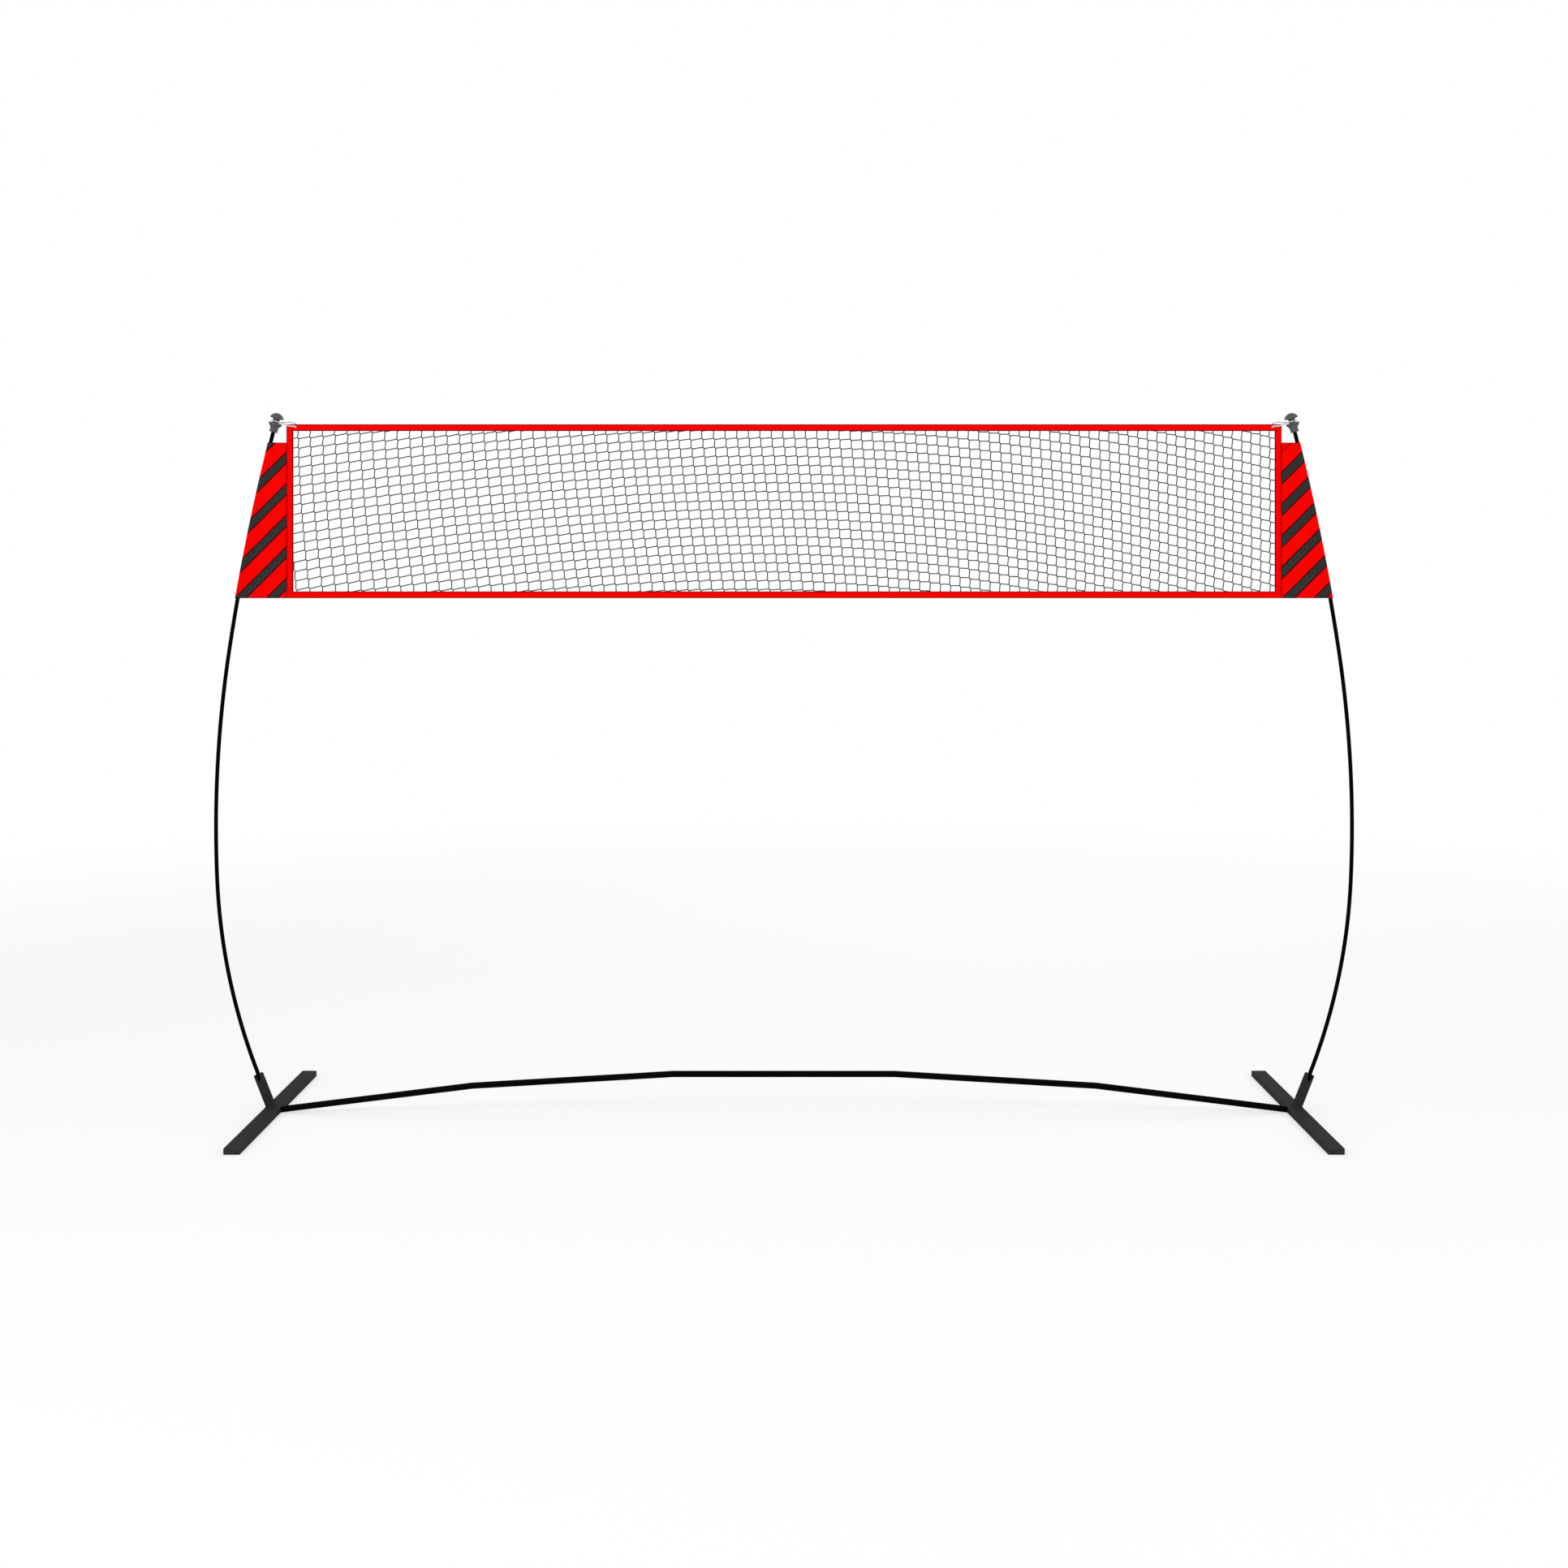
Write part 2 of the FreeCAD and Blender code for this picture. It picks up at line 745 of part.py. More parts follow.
def corner_loop():
    """Cord drawn tight like a belt, round the neck of the cap and through the eyelet."""
    cord = loop_cord / 2
    big = cap_neck_radius + cord + loop_clearance
    # the tightest turn that clears the edge of the eyelet's hole
    hole = eyelet_hole / 2
    edge = tape_half + eyelet_flange_height
    room = cord + seam_clearance
    small = (hole ** 2 + edge ** 2 - room ** 2) / (2 * (hole - room))
    spacing = loop_reach - small
    slant = math.asin((big - small) / spacing)
    run = math.sqrt(spacing ** 2 - (big - small) ** 2)
    # local X runs from the cap's axis towards the eyelet, local Y is the depth
    touch = Vector(math.sin(slant), -math.cos(slant), 0)
    forward = Vector(math.cos(slant), math.sin(slant), 0)
    far_end = Vector(spacing, 0, 0)
    at_neck = cord_face(touch * big, forward, loop_cord, up)
    at_eyelet = cord_face(far_end + touch * small, forward, loop_cord, up)
    front = at_neck.extrude(forward * run)
    back = front.mirror(origin, depth)
    round_neck = at_neck.revolve(origin, -up, 180 + 2 * math.degrees(slant))
    round_eyelet = at_eyelet.revolve(far_end, up, 180 - 2 * math.degrees(slant))
    loop = fuse([round_neck, front, round_eyelet, back])
    loop.Placement = FreeCAD.Placement(
        groove_centre, FreeCAD.Rotation(-loop_line, depth, Vector(), "XYZ"))
    return loop


def side_panel():
    """Cloth between the net and the pole, with a sleeve that the pole runs through."""
    panel_top = net_top - panel_drop
    low = distance_at_height(net_bottom)
    high = distance_at_height(panel_top)
    over = 4 * sleeve_radius
    seam = net_half - panel_seam
    corners = [
        pole_place(high)[0],
        Vector(seam, 0, panel_top),
        Vector(seam, 0, inner_bottom + seam_clearance),
        Vector(net_half + seam_clearance, 0, inner_bottom + seam_clearance),
        Vector(net_half + seam_clearance, 0, net_bottom),
        pole_place(low)[0],
    ]
    edges = [line(a, b) for a, b in zip(corners, corners[1:])] + pole_edges(low, high)
    web = Part.Face(Part.Wire(edges)).extrude(depth * cloth_thickness)
    web.translate(depth * (-cloth_thickness / 2))
    sleeve = pole_tube(low - over, high + over, sleeve_radius)
    room = pole_tube(low - 2 * over, min(high + 2 * over, pole_length),
                     sleeve_radius - cloth_thickness)
    panel = fuse([web, sleeve]).cut(room)
    panel = trim(panel, Vector(pole_foot.x, 0, panel_top), up)
    return trim(panel, Vector(pole_foot.x, 0, net_bottom), -up)


# Mesh: one sheet with a hole for each gap, on slanting columns and arched rows

def column_x(i):
    """Columns stand closer together towards the right."""
    share = i / mesh_columns
    share += mesh_squeeze * share * (1 - share)
    return inner_half * (2 * share - 1)


def row_fall(x):
    from_peak = x - mesh_arch_peak
    return mesh_arch * from_peak ** 2 + mesh_arch_skew * from_peak ** 3


def crossing(i, j):
    """Centre of a crossing: column i from the left, row j down from the peak's top."""
    x = column_x(i)
    z = inner_top - j * mesh_row_pitch - row_fall(x)
    lean = mesh_lean * max(0.0, 1 - ((x - mesh_lean_peak) / mesh_lean_reach) ** 2)
    return x + lean * ((inner_top + inner_bottom) / 2 - z), z


def gap_outline(i, j):
    """Corners of the gap right of column i and below row j, between the strands."""
    right, down = (mesh_link[0] / 2, mesh_link[1] / 2)
    corners = []
    for column, row, nodes in ((i, j, (1,)), (i + 1, j, (-1, 1)),
                               (i + 1, j + 1, (-1,)), (i, j + 1, (1, -1))):
        x, z = crossing(column, row)
        for node in nodes:
            corners.append((x + node * right, z - node * down))
    middle_x = sum(x for x, _ in corners) / len(corners)
    middle_z = sum(z for _, z in corners) / len(corners)
    width = 2 * max(abs(x - middle_x) for x, _ in corners)
    height = 2 * max(abs(z - middle_z) for _, z in corners)
    narrow = 1 - mesh_strand / width
    flat = 1 - mesh_strand / height
    return [(middle_x + (x - middle_x) * narrow, middle_z + (z - middle_z) * flat)
            for x, z in corners]


def clip(corners, axis, limit, keep):
    """Keep the part of an outline where keep * (coordinate - limit) is positive."""
    kept = []
    for first, last in zip(corners, corners[1:] + corners[:1]):
        a = keep * (first[axis] - limit)
        b = keep * (last[axis] - limit)
        if a >= 0:
            kept.append(first)
        if a * b < 0:
            share = a / (a - b)
            kept.append(tuple(p + (q - p) * share for p, q in zip(first, last)))
    return kept


def area(corners):
    pairs = zip(corners, corners[1:] + corners[:1])
    return abs(sum(a[0] * b[1] - b[0] * a[1] for a, b in pairs)) / 2


def mesh_gaps():
    """Outlines of all gaps, cut off where the tapes cover them."""
    lowest = max(row_fall(-inner_half), row_fall(inner_half))
    rows = math.ceil((inner_top - inner_bottom) / mesh_row_pitch) + mesh_spare_rows
    above = math.ceil(lowest / mesh_row_pitch) + mesh_spare_rows
    gaps = []
    for j in range(-above, rows):
        for i in range(-1, mesh_columns + 1):
            gap = gap_outline(i, j)
            for axis, limit, keep in ((0, -inner_half, 1), (0, inner_half, -1),
                                      (1, inner_bottom, 1), (1, inner_top, -1)):
                if gap:
                    gap = clip(gap, axis, limit, keep)
            if len(gap) > 2 and area(gap) > mesh_least_gap:
                gaps.append(gap)
    return gaps


def net_mesh():
    left = -net_half + mesh_margin
    low = net_bottom + mesh_margin
    high = net_top - mesh_margin
    sheet = [Vector(left, 0, low), Vector(-left, 0, low), Vector(-left, 0, high),
             Vector(left, 0, high)]
    wires = [Part.makePolygon(sheet + [sheet[0]])]
    gaps = mesh_gaps()
    print("gaps in the mesh:", len(gaps))
    for gap in gaps:
        points = [Vector(x, 0, z) for x, z in gap]
        wires.append(Part.makePolygon(points + [points[0]]))
    face = Part.makeFace(wires, "Part::FaceMakerBullseye")
    net = face.extrude(depth * mesh_thickness)
    net.translate(depth * (-mesh_thickness / 2))
    return net.cut(eyelet_bores(eyelet_outer + seam_clearance))


def both_sides(name, shape):
    return {name + "_right": shape, name + "_left": mirrored(shape)}


def all_pieces():
    pieces = {}
    pieces.update(both_sides("foot_bar", foot_bar()))
    pieces.update(both_sides("foot_end_caps", foot_end_caps()))
    pieces.update(both_sides("pole_socket", pole_socket()))
    pieces.update(both_sides("socket_bush", socket_bush()))
    pieces.update(both_sides("crossbar_stub", crossbar_stub()))
    pieces.update(both_sides("snap_button", snap_button()))
    pieces.update(both_sides("button_spring", button_spring()))
    centre, inner, outer = crossbar_tubes()
    pieces["crossbar_centre"] = centre
    pieces.update(both_sides("crossbar_inner", inner))
    pieces.update(both_sides("crossbar_outer", outer))
    pieces.update(both_sides("crossbar_inner_joiner", crossbar_joiner(1)))
    pieces.update(both_sides("crossbar_outer_joiner", crossbar_joiner(2)))
    pieces["crossbar_shock_cord"] = crossbar_shock_cord()
    pieces["crossbar_cord_anchors"] = crossbar_cord_anchors()
    for name, section in pole_sections().items():
        pieces.update(both_sides("pole_" + name, section))
    pieces.update(both_sides("pole_ferrules", pole_ferrules()))
    pieces.update(both_sides("pole_shock_cord", pole_shock_cord()))
    pieces.update(both_sides("pole_plugs", pole_plugs()))
    pieces.update(both_sides("ball_cap", ball_cap()))
    pieces["net_mesh"] = net_mesh()
    pieces["top_tape"] = top_tape()
    pieces["bottom_tape"] = bottom_tape()
    pieces.update(both_sides("side_tape", side_tape()))
    pieces.update(both_sides("side_panel", side_panel()))
    pieces.update(both_sides("corner_loop", corner_loop()))
    pieces["corner_eyelets"] = corner_eyelets()
    return pieces


os.makedirs("parts", exist_ok=True)
for node, shape in all_pieces().items():
    solids = shape.Solids
    print(node, "solids", len(solids), "valid", shape.isValid(), "volume", round(shape.Volume))
    if len(solids) == 1:
        shape = solids[0]
    shape.exportStep("parts/" + node + ".step")
print("pole sections", round(section_length, 2), "pole length", round(pole_length, 2))
print("feet at", round(foot_x, 2), "crossbar height", round(inner_kink.z, 2))
print("pole tip", pole_end, "lean", round(tip_lean, 2))
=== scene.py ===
import math
import random

import bpy
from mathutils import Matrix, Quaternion, Vector


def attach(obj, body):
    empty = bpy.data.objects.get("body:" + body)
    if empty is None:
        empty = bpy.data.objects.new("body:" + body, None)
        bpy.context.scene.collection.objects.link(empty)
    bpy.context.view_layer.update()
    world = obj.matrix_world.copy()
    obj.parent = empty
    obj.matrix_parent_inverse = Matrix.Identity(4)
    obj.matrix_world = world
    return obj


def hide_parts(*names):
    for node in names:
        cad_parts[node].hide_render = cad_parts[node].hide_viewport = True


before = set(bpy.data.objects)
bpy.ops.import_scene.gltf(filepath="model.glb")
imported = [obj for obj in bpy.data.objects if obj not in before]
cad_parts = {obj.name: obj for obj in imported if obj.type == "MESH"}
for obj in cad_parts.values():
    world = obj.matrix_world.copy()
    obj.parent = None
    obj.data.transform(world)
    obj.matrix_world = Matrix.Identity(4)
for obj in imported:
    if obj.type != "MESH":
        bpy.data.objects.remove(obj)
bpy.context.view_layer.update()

across = Vector((1, 0, 0))
depth = Vector((0, 1, 0))
up = Vector((0, 0, 1))
sides = {"right": 1, "left": -1}


def addObject(name, data):
    thing = bpy.data.objects.new(name, data)
    bpy.context.scene.collection.objects.link(thing)
    return thing


# Camera, square to the net and level, with the lens shifted down to take in the feet

view = {
    "place": (0.0, -6.6, 1.816),
    "lens": 42.93,              # millimetres
    "sensor": 36.0,
    "shift": -0.1185,
}

lens = bpy.data.cameras.new("camera")
lens.lens = view["lens"]
lens.sensor_width = view["sensor"]
lens.shift_y = view["shift"]
camera = addObject("camera", lens)
camera.location = view["place"]
camera.rotation_euler = (math.pi / 2, 0, 0)
bpy.context.scene.camera = camera
bpy.context.scene.view_settings.view_transform = "Standard"


# Tools for materials

def toLinear(code):
    channels = [int(code[k:k + 2], 16) / 255 for k in (1, 3, 5)]
    return tuple(c / 12.92 if c <= 0.04045 else ((c + 0.055) / 1.055) ** 2.4
                 for c in channels) + (1.0,)


def setNode(tree, node, values):
    # a socket, or a node's first output, is linked to the input; anything else is set on it
    for name, value in values.items():
        source = getattr(value, "outputs", [value])[0]
        if isinstance(source, bpy.types.NodeSocket):
            tree.links.new(source, node.inputs[name])
        elif isinstance(name, int) or name in node.inputs:
            isColour = isinstance(value, str)
            node.inputs[name].default_value = toLinear(value) if isColour else value
        else:
            setattr(node, name, value)


def addNode(tree, kind, values=None):
    node = tree.nodes.new("ShaderNode" + kind)
    setNode(tree, node, values or {})
    return node


def startMaterial(name, surface):
    material = bpy.data.materials.new(name)
    material.use_nodes = True
    tree = material.node_tree
    shader = tree.nodes["Principled BSDF"]
    setNode(tree, shader, surface)
    return material, tree, shader, addNode(tree, "TexCoord").outputs["Object"]


# Floor, world and lamps

studio = {
    "floorHalf": 30.0,
    "paper": "#F7F7F7",
    "fibre": "#FCFCFC",
    "fibreMm": 1.11,            # drawn coarse, real paper fibres are far finer
    "glowNear": 0.55,           # share of plain white that the eye sees near the object
    "fadeFrom": 2.6,
    "fadeTo": 9.0,
    "worldLevel": 0.7,
    "keyPlace": (-3.6, -5.2, 5.4),
    "keyPower": 150.0,
    "fillPlace": (4.2, -4.4, 3.6),
    "fillPower": 70.0,
    "backPlace": (1.5, 5.5, 4.5),
    "backPower": 70.0,
    "lampSize": 3.5,
    "aim": (0.0, 0.0, 1.3),
}


def seenRays(tree):
    # the rays that the eye, a gloss or a glass sends out, which meet plain white
    ray = addNode(tree, "LightPath")
    seen = ray.outputs["Is Camera Ray"]
    for kind in ("Is Glossy Ray", "Is Transmission Ray"):
        seen = addNode(tree, "Math", {"operation": "MAXIMUM", 0: seen, 1: ray.outputs[kind]})
    return seen


def seamlessPaper():
    # matt white background paper, rolled out: plain white, with only soft shadows on it
    material, tree, shader, place = startMaterial("whiteBackgroundPaperRolled", {
        "Roughness": 1.0, "Specular IOR Level": 0.0})
    fibres = addNode(tree, "TexNoise", {
        "Scale": 1000 / studio["fibreMm"], "Detail": 3.0, "Vector": place})
    tone = addNode(tree, "Mix", {
        "data_type": "RGBA", 0: fibres, 6: studio["paper"], 7: studio["fibre"]})
    setNode(tree, shader, {"Base Color": tone.outputs[2]})
    reach = addNode(tree, "VectorMath", {"operation": "LENGTH", 0: place})
    glow = addNode(tree, "MapRange", {
        "interpolation_type": "SMOOTHSTEP", "Value": reach.outputs["Value"],
        "From Min": studio["fadeFrom"], "From Max": studio["fadeTo"],
        "To Min": studio["glowNear"], "To Max": 1.0})
    amount = addNode(tree, "Math", {"operation": "MULTIPLY", 0: seenRays(tree), 1: glow})
    white = addNode(tree, "Emission")
    mix = addNode(tree, "MixShader", {0: amount, 1: shader, 2: white})
    setNode(tree, tree.nodes["Material Output"], {"Surface": mix})
    return material


def layFloor():
    half = studio["floorHalf"]
    mesh = bpy.data.meshes.new("floor")
    mesh.from_pydata([(-half, -half, 0), (half, -half, 0), (half, half, 0), (-half, half, 0)],
                     [], [(0, 1, 2, 3)])
    mesh.materials.append(seamlessPaper())
    floor = addObject("floor", mesh)


def lightWorld():
    world = bpy.data.worlds.new("studio")
    world.use_nodes = True
    bpy.context.scene.world = world
    tree = world.node_tree
    dim = tree.nodes["Background"]
    setNode(tree, dim, {"Color": "#FFFFFF", "Strength": studio["worldLevel"]})
    white = addNode(tree, "Background", {"Color": "#FFFFFF"})
    mix = addNode(tree, "MixShader", {0: seenRays(tree), 1: dim, 2: white})
    setNode(tree, tree.nodes["World Output"], {"Surface": mix})


def addLamp(name):
    lamp = bpy.data.lights.new(name, "AREA")
    lamp.size = studio["lampSize"]
    lamp.energy = studio[name + "Power"]
    holder = addObject(name, lamp)
    holder.location = studio[name + "Place"]
    ahead = Vector(studio["aim"]) - holder.location
    holder.rotation_euler = ahead.to_track_quat("-Z", "Y").to_euler()


layFloor()
lightWorld()
for lampName in ("key", "fill", "back"):
    addLamp(lampName)
print("camera, floor and lamps are set")


# Materials

def powderCoat(name, coat):
    # colour sprayed on metal and baked: a satin skin with a fine orange peel, a little
    # paler where edges have been rubbed
    material, tree, shader, place = startMaterial(name, {
        "IOR": 1.5, "Roughness": coat["roughness"], "Specular IOR Level": coat["gloss"]})
    peel = addNode(tree, "TexNoise", {
        "Scale": 1000 / coat["peelMm"], "Detail": 2.0, "Vector": place})
    cloud = addNode(tree, "TexNoise", {
        "Scale": 1000 / coat["cloudMm"], "Detail": 4.0, "Vector": place})
    tone = addNode(tree, "Mix", {
        "data_type": "RGBA", 0: cloud, 6: coat["dark"], 7: coat["light"]})
    rounded = addNode(tree, "Bevel", {"samples": 4, "Radius": coat["edgeMm"] / 1000})
    flat = addNode(tree, "NewGeometry")
    facing = addNode(tree, "VectorMath", {
        "operation": "DOT_PRODUCT", 0: rounded, 1: flat.outputs["Normal"]})
    # a face is flat where its rounded and its own normal nearly agree
    edge = addNode(tree, "MapRange", {
        "Value": facing.outputs["Value"], "From Min": 0.995, "From Max": 0.9})
    rubbed = addNode(tree, "Math", {"operation": "MULTIPLY", 0: edge, 1: peel})
    colour = addNode(tree, "Mix", {
        "data_type": "RGBA", 0: rubbed, 6: tone.outputs[2], 7: coat["worn"]})
    bump = addNode(tree, "Bump", {
        "Strength": 0.25, "Distance": coat["peelDepthMm"] / 1000, "Height": peel,
        "Normal": rounded})
    setNode(tree, shader, {"Base Color": colour.outputs[2], "Normal": bump})
    return material


footCoat = {
    "dark": "#292929", "light": "#2F2F2F", "worn": "#424242",
    "roughness": 0.6, "gloss": 0.012,
    "peelMm": 2.2,              # drawn coarse, real orange peel is nearer 1 mm
    "cloudMm": 140.0, "edgeMm": 0.8, "peelDepthMm": 0.12,
}
crossbarCoat = {
    "dark": "#010101", "light": "#050505", "worn": "#1A1A1A",
    "roughness": 0.45, "gloss": 0.02,
    "peelMm": 2.0, "cloudMm": 160.0, "edgeMm": 0.5, "peelDepthMm": 0.1,
}
eyeletCoat = {
    "dark": "#C80202", "light": "#DE0202", "worn": "#E84040",
    "roughness": 0.4, "gloss": 0.1,
    "peelMm": 1.2, "cloudMm": 9.0, "edgeMm": 0.2, "peelDepthMm": 0.02,
}


def lacqueredFibreglass(name, glass):
    # pultruded glass fibre with a black lacquer: fine streaks along the rod, even gloss
    material, tree, shader, place = startMaterial(name, {
        "IOR": 1.5, "Specular IOR Level": glass["gloss"]})
    fine = 1000 / glass["fibreMm"]
    drawn = addNode(tree, "Mapping", {
        "Scale": (fine, fine, 1000 / glass["streakMm"]), "Vector": place})
    streaks = addNode(tree, "TexNoise", {"Scale": 1.0, "Detail": 3.0, "Vector": drawn})
    tone = addNode(tree, "Mix", {
        "data_type": "RGBA", 0: streaks, 6: glass["dark"], 7: glass["light"]})
    rough = addNode(tree, "MapRange", {
        "Value": streaks, "To Min": glass["smooth"], "To Max": glass["rough"]})
    bump = addNode(tree, "Bump", {
        "Strength": 0.3, "Distance": glass["reliefMm"] / 1000, "Height": streaks})
    setNode(tree, shader, {"Base Color": tone.outputs[2], "Roughness": rough, "Normal": bump})
    return material


fibreglass = {
    "dark": "#010101", "light": "#050505", "gloss": 0.015, "smooth": 0.24, "rough": 0.4,
    "fibreMm": 0.9,             # drawn coarse, real rovings are nearer 0.3 mm
    "streakMm": 45.0, "reliefMm": 0.08,
}


def mouldedPlastic(name, plastic):
    # injection-moulded plastic: spark-grained and even, softly rounded at every edge
    material, tree, shader, place = startMaterial(name, {
        "IOR": 1.5, "Roughness": plastic["roughness"],
        "Specular IOR Level": plastic["gloss"]})
    grain = addNode(tree, "TexNoise", {
        "Scale": 1000 / plastic["grainMm"], "Detail": 2.0, "Vector": place})
    flow = addNode(tree, "TexNoise", {
        "Scale": 1000 / plastic["flowMm"], "Detail": 3.0, "Distortion": 0.6, "Vector": place})
    tone = addNode(tree, "Mix", {
        "data_type": "RGBA", 0: flow, 6: plastic["dark"], 7: plastic["light"]})
    rounded = addNode(tree, "Bevel", {"samples": 4, "Radius": plastic["edgeMm"] / 1000})
    bump = addNode(tree, "Bump", {
        "Strength": 0.35, "Distance": plastic["reliefMm"] / 1000, "Height": grain,
        "Normal": rounded})
    setNode(tree, shader, {"Base Color": tone.outputs[2], "Normal": bump})
    return material


capNylon = {
    "dark": "#484848", "light": "#5C5C5C", "roughness": 0.55, "gloss": 0.15,
    "grainMm": 0.9,             # drawn coarse, the real grain is about 0.3 mm
    "flowMm": 16.0, "edgeMm": 0.6, "reliefMm": 0.12,
}
blackPolypropylene = {
    "dark": "#2A2A2A", "light": "#313131", "roughness": 0.55, "gloss": 0.06,
    "grainMm": 0.8, "flowMm": 20.0, "edgeMm": 0.6, "reliefMm": 0.12,
}


def platedSteel(name, plate):
    # zinc-plated steel, passivated: bluish bright metal with faint cloudy patches
    material, tree, shader, place = startMaterial(name, {"Metallic": 1.0})
    cloud = addNode(tree, "TexNoise", {
        "Scale": 1000 / plate["patchMm"], "Detail": 4.0, "Vector": place})
    tone = addNode(tree, "Mix", {
        "data_type": "RGBA", 0: cloud, 6: plate["dark"], 7: plate["light"]})
    rough = addNode(tree, "MapRange", {
        "Value": cloud, "To Min": plate["smooth"], "To Max": plate["rough"]})
    rounded = addNode(tree, "Bevel", {"samples": 4, "Radius": plate["edgeMm"] / 1000})
    setNode(tree, shader, {
        "Base Color": tone.outputs[2], "Roughness": rough, "Normal": rounded})
    return material


zinc = {
    "dark": "#A4A8AD", "light": "#C6CACE", "smooth": 0.26, "rough": 0.46,
    "patchMm": 3.0, "edgeMm": 0.3,
}


def wovenHeight(tree, lengths, cloth):
    # over and under of a plain weave, from the lengths in the map
    parts = addNode(tree, "SeparateXYZ", {0: lengths})
    waves = []
    for axis, pitch in (("X", cloth["weftMm"]), ("Y", cloth["warpMm"])):
        turned = addNode(tree, "Math", {
            "operation": "MULTIPLY", 0: parts.outputs[axis], 1: 1000 * math.pi / pitch})
        waves.append(addNode(tree, "Math", {"operation": "SINE", 0: turned}))
    over = addNode(tree, "Math", {"operation": "MULTIPLY", 0: waves[0], 1: waves[1]})
    return addNode(tree, "Math", {"operation": "ABSOLUTE", 0: over})


def paintedEdgeShade(tree, place, edges):
    # painted shade: 1 on the cloth, and darker along its edges
    parts = addNode(tree, "SeparateXYZ", {0: place})
    beyond = []
    for axis, middle in (("X", 0.0), ("Z", edges["middleZ"])):
        wide = addNode(tree, "Math", {
            "operation": "SUBTRACT", 0: parts.outputs[axis], 1: middle})
        for operation, amount in (("ABSOLUTE", 0.0), ("SUBTRACT", edges["half" + axis])):
            wide = addNode(tree, "Math", {"operation": operation, 0: wide, 1: amount})
        beyond.append(wide)
    away = addNode(tree, "Math", {"operation": "MAXIMUM", 0: beyond[0], 1: beyond[1]})
    for operation, amount in (("SUBTRACT", edges["calm"]), ("ABSOLUTE", 0.0)):
        away = addNode(tree, "Math", {"operation": operation, 0: away, 1: amount})
    return addNode(tree, "MapRange", {
        "Value": away, "From Min": edges["reach"] - edges["soft"],
        "From Max": edges["reach"] + edges["soft"], "To Min": 1.0, "To Max": edges["shade"]})


def printStripes(tree, along, height, tone, stripes):
    # slanting dark bands with a fine dark red line along both edges; before the first
    # whole band there is only its line, and fainter
    slant = addNode(tree, "Math", {"operation": "SUBTRACT", 0: along, 1: height})
    middle = (stripes["from"] + stripes["to"]) / 2
    half = (stripes["to"] - stripes["from"]) / 2
    moved = addNode(tree, "Math", {"operation": "SUBTRACT", 0: slant, 1: middle})
    beside = addNode(tree, "Math", {
        "operation": "PINGPONG", 0: moved, 1: stripes["pitch"] / 2})
    inBand = addNode(tree, "Math", {"operation": "LESS_THAN", 0: beside, 1: half})
    inLine = addNode(tree, "Math", {
        "operation": "COMPARE", 0: beside, 1: half, 2: stripes["line"] / 2})
    begun = addNode(tree, "Math", {
        "operation": "GREATER_THAN", 0: slant, 1: stripes["first"]})
    filled = addNode(tree, "Math", {"operation": "MULTIPLY", 0: inBand, 1: begun})
    faint = addNode(tree, "MapRange", {"Value": begun, "To Min": stripes["faint"]})
    drawn = addNode(tree, "Math", {"operation": "MULTIPLY", 0: inLine, 1: faint})
    for amount, colour in ((filled, stripes["band"]), (drawn, stripes["edge"])):
        tone = addNode(tree, "Mix", {
            "data_type": "RGBA", 0: amount, 6: tone, 7: colour}).outputs[2]
    return tone


def wovenCloth(name, cloth, edges, stripes=None):
    # polyester woven from bright yarn: fine ribs with painted shade between the threads, a soft
    # sheen
    material, tree, shader, place = startMaterial(name, {
        "IOR": 1.5, "Roughness": 0.75, "Specular IOR Level": cloth["gloss"],
        "Sheen Weight": cloth["sheen"], "Sheen Roughness": 0.4, "Sheen Tint": cloth["light"]})
    lengths = addNode(tree, "UVMap", {"uv_map": "lengths"})
    height = wovenHeight(tree, lengths, cloth)
    fade = addNode(tree, "TexNoise", {
        "Scale": 1000 / cloth["fadeMm"], "Detail": 3.0, "Vector": place})
    tone = addNode(tree, "Mix", {
        "data_type": "RGBA", 0: fade, 6: cloth["light"], 7: cloth["faded"]}).outputs[2]
    if stripes:
        # the print lies on the flat cloth, so it goes round the sleeve with it
        flat = addNode(tree, "SeparateXYZ", {0: lengths})
        outward = stripes["outward"]
        along = addNode(tree, "Math", {
            "operation": "MULTIPLY_ADD", 0: flat, 1: outward, 2: outward * stripes["start"]})
        tone = printStripes(tree, along, flat.outputs["Y"], tone, stripes)
    # painted shade: the cloth's colour is darkened in the grooves between the threads and along
    # its edges
    paintedGrooveShade = addNode(tree, "MapRange", {
        "Value": height, "From Max": 0.5, "To Min": cloth["between"]})
    level = addNode(tree, "Math", {
        "operation": "MULTIPLY", 0: paintedGrooveShade, 1: paintedEdgeShade(tree, place, edges)})
    shade = addNode(tree, "Mix", {
        "data_type": "RGBA", "blend_type": "MULTIPLY", 0: 1.0, 6: tone, 7: level})
    bump = addNode(tree, "Bump", {
        "Strength": 0.4, "Distance": cloth["reliefMm"] / 1000, "Height": height})
    setNode(tree, shader, {"Base Color": shade.outputs[2], "Normal": bump})
    return material


webbing = {
    "light": "#FF0000", "faded": "#FA0000", "gloss": 0.02, "sheen": 0.01,
    "warpMm": 1.6, "weftMm": 2.4,   # drawn coarse, real ribs are about 1 mm apart
    "fadeMm": 90.0, "reliefMm": 0.25,
    "between": 0.7,             # painted shade: brightness left between the threads
}
panelCloth = {
    "light": "#FF0000", "faded": "#FA0000", "gloss": 0.02, "sheen": 0.01,
    "warpMm": 1.2, "weftMm": 1.2,   # drawn coarse, real threads are about 0.4 mm apart
    "fadeMm": 120.0, "reliefMm": 0.15, "between": 0.7,
}
# painted shade: a dark band along the tapes' long edges and the panels' top and bottom edges
tapeEdgeShade = {
    "halfX": 1.732, "halfZ": 0.283, "middleZ": 2.123,   # the window that the tapes frame
    "calm": 0.012, "reach": 0.0091, "soft": 0.0004, "shade": 0.22,
}
